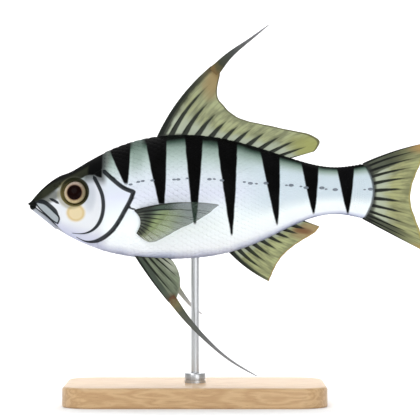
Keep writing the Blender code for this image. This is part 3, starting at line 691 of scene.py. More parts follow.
def skin_paint():
    """Silver-white with black bars, a dark cap over the head and a grey-green back."""
    paint = Paint("barred_skin")
    soft, mix, coat = paint.soft, paint.mix, paint.coat
    x, z = paint.place()
    height, leaf = paint.attribute("height"), paint.attribute("leaf")
    wobble = (paint.noise(220, 3) - 0.5) * 0.9
    mottle, fine = paint.noise(90, 4), paint.noise(1400, 2)
    blotch = soft(mottle, 0.35, 0.7)
    tone = height + (mottle - 0.5) * 0.14
    paint.ramp((tone + 1) * 0.5, FLANK_TONES)
    rear = soft(x, 76.0, 98.0) * soft(height, -0.6, -0.1) * soft(height, 0.8, 0.5)
    coat(rear * 0.9, (0.79, 0.85, 0.885))
    shoulder = soft(abs(x - 43.2), 3.6, 1.0) * soft(height, 0.3, 0.75)
    coat(shoulder * 0.5, (0.50, 0.58, 0.54))
    nape = soft(x, 34.0, 31.0) * soft(height, 0.45, 0.85)
    coat(nape * 0.9, (0.43, 0.46, 0.44))
    on_head = soft(x, 33.0, 27.0)
    head_white = mix(soft(z, -9.0, 6.0), (0.88, 0.895, 0.915), (0.84, 0.855, 0.89))
    coat(on_head * soft(height, 0.75, 0.35) * soft(height, -0.95, -0.8), head_white)
    throat = on_head * soft(height, -0.5, -0.85)
    coat(throat * 0.7, (0.73, 0.745, 0.85))
    # Painted shade: a soft grey patch behind the eye.
    shade_behind_eye = oval(x, z, (24.2, 1.0), (2.8, 7.0))
    coat(soft(shade_behind_eye + wobble * 0.4, 1.5, 0.2) * 0.6, (0.70, 0.73, 0.77))
    coat(soft(leaf, -0.2, 0.4) * 0.9, (0.60, 0.64, 0.66))
    under_gape = paint.curve(x, GAPE) - z
    lip = soft(under_gape, -0.3, 0.2) * soft(under_gape, 4.4, 0.4) * soft(x, 15.5, 12.0)
    coat(lip * 0.9, (0.60, 0.62, 0.65))
    patch = oval(x, z, CHEEK_PATCH, (3.9, 3.6)) + wobble * 0.3
    cheek_tone = mix(soft(abs(patch - 0.7), 0.4, 0.0), (0.87, 0.805, 0.65), (0.82, 0.73, 0.53))
    coat(soft(patch, 1.35, 0.55), cheek_tone)
    patch = oval(x, z - (x - SNOUT_PATCH[0]) * 0.25, SNOUT_PATCH, (4.6, 2.7))
    coat(soft(patch + wobble * 0.5, 1.5, 0.3) * 0.9, (0.36, 0.38, 0.35))
    cap_edge = paint.curve(x, CAP_EDGE)
    # Painted shade: a dark band under the cap's edge, fading out downwards.
    temple_shade = soft(cap_edge - z + wobble * 0.6, 4.2, 0.2) * soft(x, 20.8, 23.2) * soft(x, 32.0, 29.5)
    coat(temple_shade * 0.85, (0.23, 0.25, 0.25))
    cap_blur = soft(x, 20.0, 0.0) * 1.2 + 0.5
    cap = soft((z - cap_edge + wobble) / cap_blur, -0.5, 1.0) * soft(x, 29.8, 28.9)
    blackest = soft(x + wobble, 22.8, 24.4).most(soft(height, 0.8, 0.93))
    cap_tone = mix(blotch, (0.07, 0.08, 0.06), (0.19, 0.20, 0.15))
    coat(cap, mix(blackest, cap_tone, (0.0, 0.005, 0.005)))
    from_ring = away(x, z, RING) + wobble * 0.25
    under_left = soft(away(x, z, (17.3, 1.2)) + wobble * 0.5, 6.6, 5.4)
    coat(under_left * 0.6, (0.55, 0.53, 0.40))
    shade = soft(x * 0.8 + z, 11.0, 20.0)
    socket = soft(from_ring, RING_RADIUS + 0.8, RING_RADIUS + 0.3)
    coat(socket, mix(shade, (0.50, 0.46, 0.27), (0.20, 0.21, 0.13)))
    ring = soft(abs(from_ring - RING_RADIUS), 0.75, 0.3)
    coat(ring * (shade * 0.45 + 0.5), (0.11, 0.12, 0.06))
    bars = 0.0
    for bar in BARS:
        drop, start, end = bar_sides(bar, z)
        tip = bar[4]
        swell = drop * (1 - drop) * 4 * BAR_SWELL
        inside = (x + wobble * 0.5 - start).least(end - x + wobble * 0.5) + swell
        bars = (soft(inside, -0.35, 0.25) * soft(z, tip - 0.6, tip + 0.9)).most(bars)
    coat(bars, mix(blotch, (0.0, 0.0, 0.0), (0.03, 0.03, 0.035)))
    # Painted shade: a dark band at the body's end, where the tail fin leaves it.
    from_end = (1 - height * height) * TAIL_BULGE + BODY_END - x
    tail_root_shade = soft(from_end + wobble * 0.4, 1.1, 0.3)
    coat(tail_root_shade * 0.85, (0.15, 0.17, 0.16))
    ink = soft(paint.attribute("ink"), 1.35, 0.85)
    coat(ink * 0.95, (0.09, 0.11, 0.13))
    snout = soft(away(x, z, (1.1, -3.2)), 2.3, 1.6)
    coat(snout, (0.07, 0.08, 0.08))
    silver = 1 - bars.most(ink).most(cap).most(snout).most(soft(height, 0.8, 0.92))
    bump = paint.bump(mottle, 0.2, paint.bump(fine, 0.03))
    return paint.finish(
        0.6 - silver * 0.26 + (fine - 0.5) * 0.10, bump, Specular_IOR_Level=0.05, Coat_Weight=silver * 0.25,
        Coat_Roughness=0.2)


def eye_paint():
    """A dark pupil in a cream iris, pink above and straw below, under a wet gloss."""
    paint = Paint("eye_gloss")
    soft, coat = paint.soft, paint.coat
    x, z = paint.place()
    across, up = x - EYE[0], z - EYE[1]
    reach = (across ** 2 + up ** 2) ** 0.5
    spokes = paint.vector(across / (reach + 0.05), up / (reach + 0.05), reach * 0.12)
    fibres = paint.streaks(spokes, 9.0, 4.0)
    paint.colour = paint.mix(soft(up - across * 0.5, -3.5, 3.5), (0.76, 0.69, 0.53), (0.72, 0.66, 0.61))
    coat(soft(across, 0.5, 4.0) * 0.6, (0.42, 0.42, 0.35))
    coat(soft(across, -1.0, -4.0) * 0.6, (0.90, 0.83, 0.68))
    coat(soft(fibres, 0.35, 0.75) * 0.35, (0.60, 0.50, 0.40))
    coat(soft(abs(reach - PUPIL_RADIUS - 0.1), 0.45, 0.05) * 0.8, (0.45, 0.32, 0.25))
    coat(soft(reach, IRIS_RADIUS - 0.5, IRIS_RADIUS), (0.24, 0.21, 0.09))
    coat(soft(reach, PUPIL_RADIUS + 0.12, PUPIL_RADIUS - 0.12), (0.07, 0.01, 0.005))
    return paint.finish(
        0.5, paint.bump(fibres, 0.05), Specular_IOR_Level=0.02, Coat_Weight=0.05, Coat_Roughness=0.05)


def fin_paint(
        name, rays, olive, rim, patches, pale, wedge, borders, foot=0.07, clear=0.0, behind=0.0, down=1.5):
    """A fin's web and rays: olive, with dark wedges along its rays and pale skin between them.

    rim is the margin's colour. patches are warm places: a colour, a middle across and along, and
    half-sizes. pale is how far along the pale skin reaches, and wedge how far the dark does and
    how wide it starts. borders are how far across the dark first and last edges reach, and their
    colour. foot is how far along the dark root reaches, partly the fin's own dark base and partly
    painted shade where the fin leaves the body. clear is how much the rear shows through, behind
    how far behind its ray a wedge lies, and down how far along the dark edges run.
    """
    paint = Paint(name)
    soft, coat = paint.soft, paint.coat
    across, along = paint.attribute("across"), paint.attribute("along")
    wobble, mottle = paint.noise(260, 3) - 0.5, paint.noise(120, 4)
    ray = across * (rays - 1)
    strokes = paint.streaks(paint.vector(ray * 2.3, along * 2.6, mottle * 0.4), 1.0)
    dim, plain, bright = ([c * share for c in olive] for share in (0.6, 0.82, 1.08))
    paint.colour = paint.mix(soft(strokes, 0.32, 0.68), plain, bright)
    coat(soft((ray * 3).off_whole(), 0.24, 0.05) * 0.22, dim)
    coat(soft(along + wobble * 0.25 + (strokes - 0.5) * 0.3, pale, pale * 0.3) * 0.75, (0.71, 0.75, 0.68))
    for warm, middle, half in patches:
        coat(soft(oval(across, along, middle, half) + wobble * 0.8, 1.6, 0.0) * 0.9, warm)
    reach, width = wedge
    taper = 1 - along / ((1.1 - across * 0.25) * reach + wobble * 0.2)
    beside = (ray - behind).off_whole()
    dark = soft(taper * width - beside + wobble * 0.06, -0.05, 0.06) * soft(taper, 0.0, 0.4)
    first, last, border_tone = borders
    thinner = 1.1 - along * 0.5
    border = soft(thinner * first - across + wobble * 0.03, -0.014, 0.014)
    border = border.most(soft(across - 1 + thinner * last, -0.014, 0.014))
    coat(border * soft(along, down, down * 0.4) * 0.9, border_tone)
    coat(dark * 0.95, (0.06, 0.09, 0.06))
    coat(soft(along + across * 0.04 + wobble * 0.02, 0.965, 0.99) * 0.8, rim)
    # The dark root: partly the fin's own dark base, partly painted shade where the fin leaves the body.
    coat(soft((along + wobble * 0.05) / (across * 0.8 + 1), foot, foot * 0.5) * 0.8, (0.13, 0.14, 0.13))
    joints = (along * 230).wave() * soft(ray.off_whole(), 0.14, 0.05)
    bump = paint.bump(strokes, 0.1, paint.bump(joints, 0.02))
    alpha = 1 - soft(along, 0.25, 0.6) * (1 - dark) * clear
    return paint.finish(0.5 + wobble * 0.15, bump, Specular_IOR_Level=0.25, Alpha=alpha)


def streamer_paint(name, joint, paler=0.0):
    """The joint's colour where it leaves the fin, dark olive behind, fading to grey at the tip."""
    paint = Paint(name)
    streaks = paint.noise(500, 3)
    stops = [(place, [c + paler * share for c in tone]) for place, share, tone in STREAMER_TONES]
    paint.ramp(paint.attribute("along") + (streaks - 0.5) * 0.12, [(0.0, joint), (0.03, joint), *stops])
    return paint.finish(0.5, paint.bump(streaks, 0.05), Specular_IOR_Level=0.3)


def pore_paint():
    """The grey marks of the lateral line."""
    paint = Paint("lateral_line")
    blotch = paint.noise(600, 2)
    paint.colour = paint.mix(blotch, (0.34, 0.38, 0.42), (0.54, 0.58, 0.63))
    return paint.finish(0.4, paint.bump(blotch, 0.05))


def maple_paint():
    """Pale, satin-varnished maple with its grain along the base."""
    paint = Paint("maple")
    broad = paint.noise(26, 4, (1, 7, 7))
    grain = paint.noise(160, 5, (1, 14, 14), 0.6)
    flecks = paint.noise(900, 2, (1, 6, 6))
    rings = ((broad * 46).wave() + 1) * 0.5
    paint.colour = paint.mix(rings * 0.5 + grain * 0.4, (0.84, 0.71, 0.53), (0.70, 0.54, 0.36))
    paint.coat(paint.soft(flecks, 0.62, 0.78) * 0.5, (0.56, 0.41, 0.26))
    return paint.finish(
        0.36 + grain * 0.14, paint.bump(grain + flecks * 0.5, 0.05), Coat_Weight=0.25, Coat_Roughness=0.25)


def steel_paint(name, stretch):
    """Steel brushed along the way that stretch leaves unsqueezed."""
    paint = Paint(name)
    brush = paint.noise(700, 3, stretch)
    paint.colour = paint.mix(brush, (0.70, 0.71, 0.72), (0.84, 0.85, 0.86))
    return paint.finish(0.24 + brush * 0.16, paint.bump(brush, 0.015), Metallic=1.0)


def stage_paint():
    """A matt, near-white studio floor."""
    paint = Paint("studio_floor")
    paint.colour = paint.mix(paint.noise(40, 2), (0.97, 0.97, 0.97), (0.98, 0.98, 0.98))
    return paint.finish(0.85)


def geometry_tree(name, **inputs):
    """A Geometry Nodes tree with a geometry input, named inputs and a geometry output."""
    group = bpy.data.node_groups.new(name, "GeometryNodeTree")
    for label, kind in (("Geometry", "Geometry"), *inputs.items()):
        group.interface.new_socket(label, in_out="INPUT", socket_type="NodeSocket" + kind)
    group.interface.new_socket("Geometry", in_out="OUTPUT", socket_type="NodeSocketGeometry")
    tree = Tree(group)
    entry = group.nodes.new("NodeGroupInput")
    return tree, {socket.name: Value(tree, socket) for socket in entry.outputs if socket.name}


def close_tree(tree, geometry, material):
    """Ends a tree in Realize Instances, Set Material and the group's output."""
    whole = tree.node("GeometryNodeRealizeInstances", inputs={0: geometry})
    painted = tree.node("GeometryNodeSetMaterial", inputs={"Geometry": whole, "Material": material})
    tree.node("NodeGroupOutput", inputs={0: painted}, output=None)
    return tree.tree


def stored(tree, name, kind="FLOAT_VECTOR"):
    """An attribute of the source mesh."""
    return tree.node("GeometryNodeInputNamedAttribute", {"data_type": kind}, {"Name": name})


def store(tree, geometry, name, value, kind="FLOAT_VECTOR", domain="POINT"):
    """A geometry with an attribute added."""
    return tree.node(
        "GeometryNodeStoreNamedAttribute", {"data_type": kind, "domain": domain},
        {"Geometry": geometry, "Name": name, "Value": value})


def oval_tree():
    """Lays a flat oval on each point, along the attribute lie and facing out: scales and pores."""
    tree, given = geometry_tree(
        "overlapping_ovals", Length="Float", Width="Float", Thickness="Float", Tilt="Float",
        Material="Material")
    ball = tree.node("GeometryNodeMeshUVSphere", inputs={"Segments": 10, "Rings": 4, "Radius": 0.5})
    marked = store(tree, ball, "patch", tree.node("GeometryNodeInputPosition"))
    size = tree.vector(given["Length"], given["Width"], given["Thickness"])
    turn = tree.vector(0.0, given["Tilt"], 0.0)
    shape = tree.node("GeometryNodeTransform", inputs={"Geometry": marked, "Rotation": turn, "Scale": size})
    facing = tree.node(
        "FunctionNodeAxesToRotation", {"primary_axis": "Z", "secondary_axis": "X"},
        {0: stored(tree, "out"), 1: stored(tree, "lie")})
    laid = tree.node("GeometryNodeInstanceOnPoints", inputs={
        "Points": given["Geometry"], "Instance": shape, "Rotation": facing, "Scale": stored(tree, "size")})
    whole = tree.node("GeometryNodeRealizeInstances", inputs={0: laid})
    spread = tree.node("ShaderNodeVectorMath", {"operation": "SCALE"}, {0: stored(tree, "patch"), 3: 0.003})
    flat = tree.node("ShaderNodeVectorMath", {"operation": "ADD"}, {0: stored(tree, "root"), 1: spread})
    return close_tree(tree, store(tree, whole, "OFBake", flat, "FLOAT2", "CORNER"), given["Material"])


def ray_tree():
    """Turns each line of edges into a tapering rod, as wide as the attribute width."""
    tree, given = geometry_tree("tapering_rays", Sides="Int", Thickness="Float", Material="Material")
    lines = tree.node("GeometryNodeMeshToCurve", inputs={"Mesh": given["Geometry"]})
    sizes = {"Resolution": given["Sides"], "Radius": given["Thickness"]}
    profile = tree.node("GeometryNodeCurvePrimitiveCircle", inputs=sizes)
    width = stored(tree, "width", "FLOAT")
    rods = tree.node("GeometryNodeCurveToMesh", inputs={
        "Curve": lines, "Profile Curve": profile, "Scale": width, "Fill Caps": True})
    smooth = tree.node("GeometryNodeSetShadeSmooth", inputs={"Geometry": rods, "Shade Smooth": True})
    return close_tree(tree, smooth, given["Material"])


def grow(source, name, group, **values):
    """Runs a tree on a source mesh and returns the result as a plain object; the source goes."""
    modifier = source.modifiers.new(name, "NODES")
    modifier.node_group = group
    for item in group.interface.items_tree:
        if item.in_out == "INPUT" and item.name in values:
            modifier[item.identifier] = values[item.name]
    bpy.context.view_layer.update()
    evaluated = source.evaluated_get(bpy.context.evaluated_depsgraph_get())
    mesh = bpy.data.meshes.new_from_object(evaluated)
    source.modifiers.clear()
    bpy.data.objects.remove(source)
    mesh.name = name
    for spare in ("patch", "out", "lie", "size", "root", "width"):
        if spare in mesh.attributes:
            mesh.attributes.remove(mesh.attributes[spare])
    return add_object(name, mesh)


def make_skin(material):
    """One closed skin over head, jaws, trunk and tail stalk, finest on the head."""
    start, end, count = SNOUT_RINGS
    snout = np.linspace(math.sqrt(start), math.sqrt(end), count) ** 2
    body = np.linspace(BODY_RINGS[0], BODY_END, BODY_RINGS[1])
    stations = np.concatenate([snout, np.arange(*HEAD_RINGS), body])
    x, angle = np.meshgrid(stations, turns(AROUND), indexing="ij")
    points = body_surface(x, angle)
    points += body_normal(x, angle) * skin_relief(x, points[..., 2])[..., None]
    pole = [(0.0, 0.0, float(back_at(0) + belly_at(0)) / 2)]
    rings, half = len(stations), AROUND // 2
    last = 1 + (rings - 1) * AROUND
    faces = fan_faces(0, 1, AROUND) + ring_faces(rings, AROUND, 1)
    faces += [(last + AROUND - 1, last, last + 1), (last + half - 1, last + half, last + half + 1)]
    for k in range(1, half - 1):
        faces.append((last + AROUND - k, last + k, last + k + 1, last + AROUND - k - 1))
    points = np.concatenate([pole, points.reshape(-1, 3)])
    skin = turned_outwards(new_piece("fish_skin", points, faces, material))
    add_skin_marks(skin)
    settle(skin, "skin", "head", "lower_jaw", "trunk", "tail_stalk")


def make_gill_covers(material):
    """A bony plate on each side, tucked under the cheek in front and free along its rear edge."""
    down, back = (np.linspace(0, 1, count) for count in GILL_GRID)
    front = run_curve(CHEEK_LINE)(down) - (0.7, 0)
    rear = run_curve(gill_line)(down)
    x, z = np.moveaxis(front[:, None] + (rear - front)[:, None] * back[None, :, None], -1, 0)
    rise = 0.75 * soft_step(back, 0.0, 0.25) + 0.25 * back - 0.15 - 0.3 * soft_step(back, 0.965, 1.0)
    thick = 0.75 - 0.3 * back - 0.25 * soft_step(back, 0.93, 1.0)
    for word, side in SIDES:
        name = "gill_cover_" + word
        outer, inner = on_side(x, z, side, rise), on_side(x, z, side, rise - thick)
        plate = sheet_piece("shell_" + name, outer, inner, material)
        add_skin_marks(plate)
        settle(plate, "skin", name)


def make_eyes(material):
    """A flattened ball in each socket, its pupil a little proud."""
    rings, sides = EYE_GRID
    polar, turn = np.meshgrid(np.linspace(0, np.pi, rings + 2)[1:-1], turns(sides), indexing="ij")
    reach = EYE_RADIUS * np.sin(polar)
    dome = PUPIL_RISE * np.exp(-(reach / PUPIL_DOME) ** 4) * (polar < np.pi / 2)
    depth = EYE_HALF_DEPTH * np.cos(polar) + dome
    ball = np.stack([reach * np.cos(turn), reach * np.sin(turn), depth], -1).reshape(-1, 3)
    ball = np.concatenate([[(0, 0, EYE_HALF_DEPTH + PUPIL_RISE)], ball, [(0, 0, -EYE_HALF_DEPTH)]])
    last = 1 + (rings - 1) * sides
    faces = fan_faces(0, 1, sides) + ring_faces(rings, sides, 1)
    faces += [face[::-1] for face in fan_faces(last + sides, last, sides)]
    x, z = np.array(EYE)
    for word, side in SIDES:
        angle = body_angle(x, z, side)
        out = body_normal(x, angle)
        along = unit(np.array([1.0, 0, 0]) - out * out[0])
        centre = body_surface(x, angle) - out * (EYE_HALF_DEPTH - EYE_BULGE)
        points = centre + ball @ np.stack([along, np.cross(along, out), out])
        name = "eye_" + word
        settle(turned_outwards(new_piece("ball_" + name, points, faces, material)), "eye", name)


def lay_ovals(name, tree, material, size, tilt, places, lift):
    """Ovals of a size on both sides of the body, at stations, angles and shares of that size."""
    x, angle, share = places
    length, width, thickness = (measure * MM for measure in size)
    turn = math.radians(tilt)
    pieces = []
    for word, side in SIDES:
        name_here = f"{name}_{word}"
        out = body_normal(x, angle * side)
        place = body_surface(x, angle * side)
        source = new_piece(name_here + "_roots", place + out * lift, [])
        round_body = np.mod(angle * side, 2 * np.pi) / (2 * np.pi)
        set_attribute(source, "out", out)
        set_attribute(source, "lie", body_surface(x + 0.3, angle * side) - place)
        set_attribute(source, "root", np.stack([x / BODY_END, round_body, np.zeros_like(x)], -1))
        set_attribute(source, "size", np.stack([share] * 3, -1))
        ovals = grow(
            source, name_here, tree, Length=length, Width=width, Thickness=thickness, Tilt=turn,
            Material=material)
        ovals.data.shade_smooth()
        pieces.append(settle(ovals, "skin"))
    return pieces


def scale_places():
    """Stations, angles and pitches of the scales, in staggered rows at even steps round the body."""
    stations, angles, pitches = [], [], []
    x, odd = SCALES_START, False
    round_side = np.linspace(0.02, 0.98, 160) * np.pi
    while x < SCALES_END:
        reach = lengths_along(body_surface(np.full(len(round_side), x), round_side))
        pitch = reach[-1] / SCALE_ROWS
        shares = (np.arange(SCALE_ROWS) + (0.75 if odd else 0.25)) / SCALE_ROWS
        stations += [x] * SCALE_ROWS
        angles += list(np.interp(shares * reach[-1], reach, round_side))
        pitches += [pitch] * SCALE_ROWS
        x += SCALE_STEP * pitch + SCALE_GAP
        odd = not odd
    return np.array([stations, angles, pitches])


def make_scales(material, tree):
    """Overlapping scales behind the gill covers, smaller towards the tail."""
    places = scale_places()
    x, z = places[0], body_surface(*places[:2])[:, 2]
    behind_gill = x - np.interp(z, gill_line[::-1, 1], gill_line[::-1, 0])
    clear = (behind_gill > GILL_GAP) & (oval(x, z, PECTORAL_LOBE, LOBE_CLEAR) > 1)
    places = places[:, clear]
    for scales in lay_ovals("scales", tree, material, SCALE_SIZE, SCALE_TILT, places, SCALE_LIFT):
        add_skin_marks(scales)


def make_lateral_line(material, tree):
    """The row of grey pores from the gill cover's point to the tail, missing where the bars cross."""
    count = np.arange(PORES)
    x, z = run_curve(LATERAL_LINE)(count / count[-1]).T
    x, z = x + 0.6 * np.sin(count * 2.4), z + 0.22 * np.sin(count * 1.7)  # uneven, as in life
    clear = np.ones(PORES, bool)
    for bar in BARS:
        _, start, end = bar_sides(bar, z)
        clear &= (x < start - 0.3) | (x > end + 0.3)
    places = np.array([x, body_angle(x, z, 1), 0.85 + 0.3 * np.sin(count * 3.1)])
    lay_ovals("lateral_line", tree, material, PORE_SIZE, 0.0, places[:, clear], PORE_LIFT)


def fin_surface(root, margin, bow, lateral):
    """A fin's middle surface as a function of shares across it and along it."""
    margin_at = curve_through(margin, np.linspace(0, 1, len(margin)))

    def at(across, along):
        across, along = np.broadcast_arrays(np.asarray(across, float), np.asarray(along, float))
        start = root(across)
        chord = margin_at(across) - start
        bend = (bow[0] + (bow[1] - bow[0]) * across) * 4 * along * (1 - along)
        x = start[..., 0] + chord[..., 0] * along - chord[..., 1] * bend
        z = start[..., 1] + chord[..., 1] * along + chord[..., 0] * bend
        return np.stack([x, lateral(x, z, across), z], -1)

    return at


def make_membrane(name, surface, rays, material):
    """The fin's thin web, a little drawn in between its rays and notched at the margin."""
    across, along = np.meshgrid(
        np.linspace(0, 1, (rays - 1) * WEB_COLUMNS + 1), np.linspace(0, 1, WEB_ROWS), indexing="ij")
    between = np.sin(np.pi * across * (rays - 1)) ** 2
    middle = surface(across, along * (1 - WEB_NOTCH * between))
    normal = unit(np.cross(np.gradient(middle, axis=0), np.gradient(middle, axis=1)))
    half = WEB_THICKNESS / 2 * (1 - 0.45 * along) * (1 - 0.3 * between)
    half += WEB_FOOT * soft_step(-along, -0.12, 0.0)
    pleat = WEB_PLEAT * np.sin(2 * np.pi * across * (rays - 1)) * along
    middle = middle + normal * pleat[..., None]
    rise = normal * half[..., None]
    web = sheet_piece(name, middle + rise, middle - rise, material)
    set_attribute(web, "across", np.tile(across.ravel(), 2))
    set_attribute(web, "along", np.tile(along.ravel(), 2))
    return web


def make_rays(name, surface, rays, material, tree, first=1.25, width=0.34):
    """Rods along the rays, each forking towards the margin but for the first, the widest."""
    along = np.linspace(0, 1, RAY_POINTS)
    points, edges, across_all, along_all, widths = [], [], [], [], []
    for ray in range(rays):
        for branch in ((0,) if ray == 0 else (-1, 1)):
            spread = FORK_SPREAD * branch * soft_step(along, FORK_START, 1.0)
            across = np.clip((ray + spread) / (rays - 1), 0, 1)
            start = len(points)
            points += list(surface(across, along * 0.985))
            edges += [(start + i, start + i + 1) for i in range(len(along) - 1)]
            across_all += list(across)
            along_all += list(along)
            foot = width * (1.0 if ray else first)
            widths += list(foot * (RAY_TIP + (1 - RAY_TIP) * (1 - along) ** 1.5))
    paths = new_piece(name + "_paths", points, [], edges=edges)
    for label, values in (("across", across_all), ("along", along_all), ("width", widths)):
        set_attribute(paths, label, values)
    return grow(paths, name, tree, Sides=8, Thickness=MM, Material=material)


def make_fin(name, nodes, paint, tree, root, margin, bow, lateral, **ray_sizes):
    """A fin's web, which stands for its CAD nodes, and its rays."""
    surface, rays = fin_surface(root, margin, bow, lateral), len(margin)
    settle(make_membrane(name + "_web", surface, rays, paint), "fins", *nodes)
    settle(make_rays(name + "_rays", surface, rays, paint, tree, **ray_sizes), "fins")


def make_streamer(name, line, width, taper, lateral, material, node):
    """A flattened filament that grows out of the fin's tip and thins to a thread."""
    start, toward = np.array(line[:2], float)
    line = [start - unit(toward - start) * STREAMER_OVERLAP, *line]
    x, z = resampled(line, STREAMER_RINGS).T
    path = np.stack([x, lateral(x, z, 0), z], -1)
    tangent = unit(np.gradient(path, axis=0))
    out = unit(np.array([0, 1.0, 0]) - tangent * tangent[:, 1:2])
    beside = np.cross(tangent, out)
    gone = lengths_along(path)
    past = gone - STREAMER_OVERLAP
    share = np.clip(past / past[-1], 0, 1)
    wide = (STREAMER_TIP_WIDTH + (width - STREAMER_TIP_WIDTH) * (1 - share) ** taper) / 2
    wide = wide * (1 - 0.12 * soft_step(-past, 0, STREAMER_OVERLAP)) * (1 - 0.6 * share ** 9)
    thick = np.interp(share, (0, 1), STREAMER_THICKNESS) / 2
    turn = turns(STREAMER_SIDES)
    rings = (
        path[:, None] + beside[:, None] * (wide[:, None] * np.cos(turn))[..., None]
        + out[:, None] * (thick[:, None] * np.sin(turn))[..., None])
    piece = turned_outwards(new_piece(name, rings, tube_faces(len(share), STREAMER_SIDES), material))
    set_attribute(piece, "along", np.repeat(gone / gone[-1], STREAMER_SIDES))
    settle(piece, "fins", node)


def flat(x, z, across):
    """A median fin stands in the body's middle plane."""
    return np.zeros_like(x)


def streamer_edge(line, width):
    """The two ends of the edge that a streamer leaves from."""
    start, toward = np.array(line[:2], float)
    along = unit(toward - start)
    across = np.array([-along[1], along[0]]) * width / 2
    return start + across, start - across


def ray_place(roots, across):
    """The value of a list of rays' roots at a share across the fin."""
    return np.interp(across * (len(roots) - 1), range(len(roots)), roots)


def edge_root(edge, roots, lift):
    """The root of a fin on the back or the belly, as a function of the share across it."""
    def at(across):
        x = ray_place(roots, across)
        return np.stack([x, edge(x) + lift], -1)

    return at


def make_median_fins(tree):
    """The dorsal, anal and tail fins, with the dorsal streamer."""
    def tail_root(across):
        angle = np.arccos(ray_place(TAIL_ROOTS, across) * 0.985)
        place = body_surface(np.full(np.shape(across), BODY_END), angle)
        return np.stack([place[..., 0] - ROOT_SINK, place[..., 2]], -1)

    root = edge_root(back_at, DORSAL_ROOTS, -ROOT_SINK)
    margin = [*streamer_edge(DORSAL_STREAMER, DORSAL_STREAMER_WIDTH), *DORSAL_MARGIN]
    paint = fin_paint(
        "dorsal_fin_paint", rays=len(margin), olive=(0.60, 0.62, 0.47), rim=(0.32, 0.31, 0.21),
        patches=[
            ((0.60, 0.52, 0.35), (0.10, 0.97), (0.10, 0.26)),
            ((0.42, 0.32, 0.16), (0.03, 1.02), (0.09, 0.11)),
            ((0.60, 0.61, 0.35), (0.97, 0.8), (0.17, 0.45))],
        pale=0.5, wedge=(0.86, 0.27), behind=0.13, borders=(0.055, 0.0, (0.08, 0.10, 0.07)))
    nodes = "dorsal_fin_front", "dorsal_fin_rear"
    make_fin("dorsal_fin", nodes, paint, tree, root, margin, DORSAL_BOW, flat, first=1.8)
    make_streamer(
        "dorsal_filament", DORSAL_STREAMER, DORSAL_STREAMER_WIDTH, DORSAL_STREAMER_TAPER, flat,
        streamer_paint("dorsal_filament_paint", (0.42, 0.34, 0.19)), "dorsal_streamer")
    paint = fin_paint(
        "anal_fin_paint", rays=len(ANAL_MARGIN), olive=(0.62, 0.64, 0.46), rim=(0.60, 0.50, 0.28),
        patches=[
            ((0.60, 0.51, 0.36), (0.9, 0.8), (0.2, 0.5)), ((0.46, 0.32, 0.20), (0.86, 0.6), (0.06, 0.35))],
        pale=0.3, wedge=(0.8, 0.34), behind=0.13, borders=(0.06, 0.0, (0.12, 0.15, 0.11)))
    root = edge_root(belly_at, ANAL_ROOTS, ROOT_SINK)
    make_fin("anal_fin", ["anal_fin"], paint, tree, root, ANAL_MARGIN, ANAL_BOW, flat, first=1.4)
    paint = fin_paint(
        "tail_fin_paint", rays=len(TAIL_MARGIN), olive=(0.60, 0.61, 0.43), rim=(0.62, 0.58, 0.34),
        patches=[
            ((0.70, 0.55, 0.34), (0.0, 1.0), (0.13, 0.3)), ((0.66, 0.56, 0.34), (1.0, 1.0), (0.1, 0.25))],
        pale=0.6, wedge=(0.95, 0.27), borders=(0.24, 0.22, (0.21, 0.23, 0.17)), foot=0.11, down=1.0)
    nodes = "tail_fin_upper", "tail_fin_lower"
    make_fin("tail_fin", nodes, paint, tree, tail_root, TAIL_MARGIN, TAIL_BOW, flat, width=0.42)


def make_pectoral_fins(tree):
    """A fan of rays on a fleshy lobe on each side."""
    root_at = run_curve(PECTORAL_ROOT)
    paint = fin_paint(
        "pectoral_fin_paint", rays=len(PECTORAL_MARGIN), olive=(0.40, 0.47, 0.40), rim=(0.36, 0.42, 0.37),
        patches=[
            ((0.60, 0.665, 0.46), (0.5, 0.56), (0.42, 0.42)), ((0.57, 0.60, 0.47), (0.9, 0.6), (0.28, 0.6)),
            ((0.12, 0.22, 0.19), (0.08, 1.0), (0.38, 0.42))],
        pale=0.14, wedge=(0.62, 0.25), borders=(0.14, 0.0, (0.24, 0.30, 0.26)), foot=0.3, clear=0.59)
    for word, side in SIDES:
        def lateral(x, z, across, side=side):
            root_x, root_z = np.moveaxis(root_at(across), -1, 0)
            start = on_side(root_x, root_z, 1)[..., 1] + PECTORAL_LIFT
            return side * (start + PECTORAL_FLARE * np.hypot(x - root_x, z - root_z))

        name = "pectoral_fin_" + word
        make_fin(
            "fan_" + name, [name], paint, tree, root_at, PECTORAL_MARGIN, PECTORAL_BOW, lateral, first=1.4,
            width=0.32)


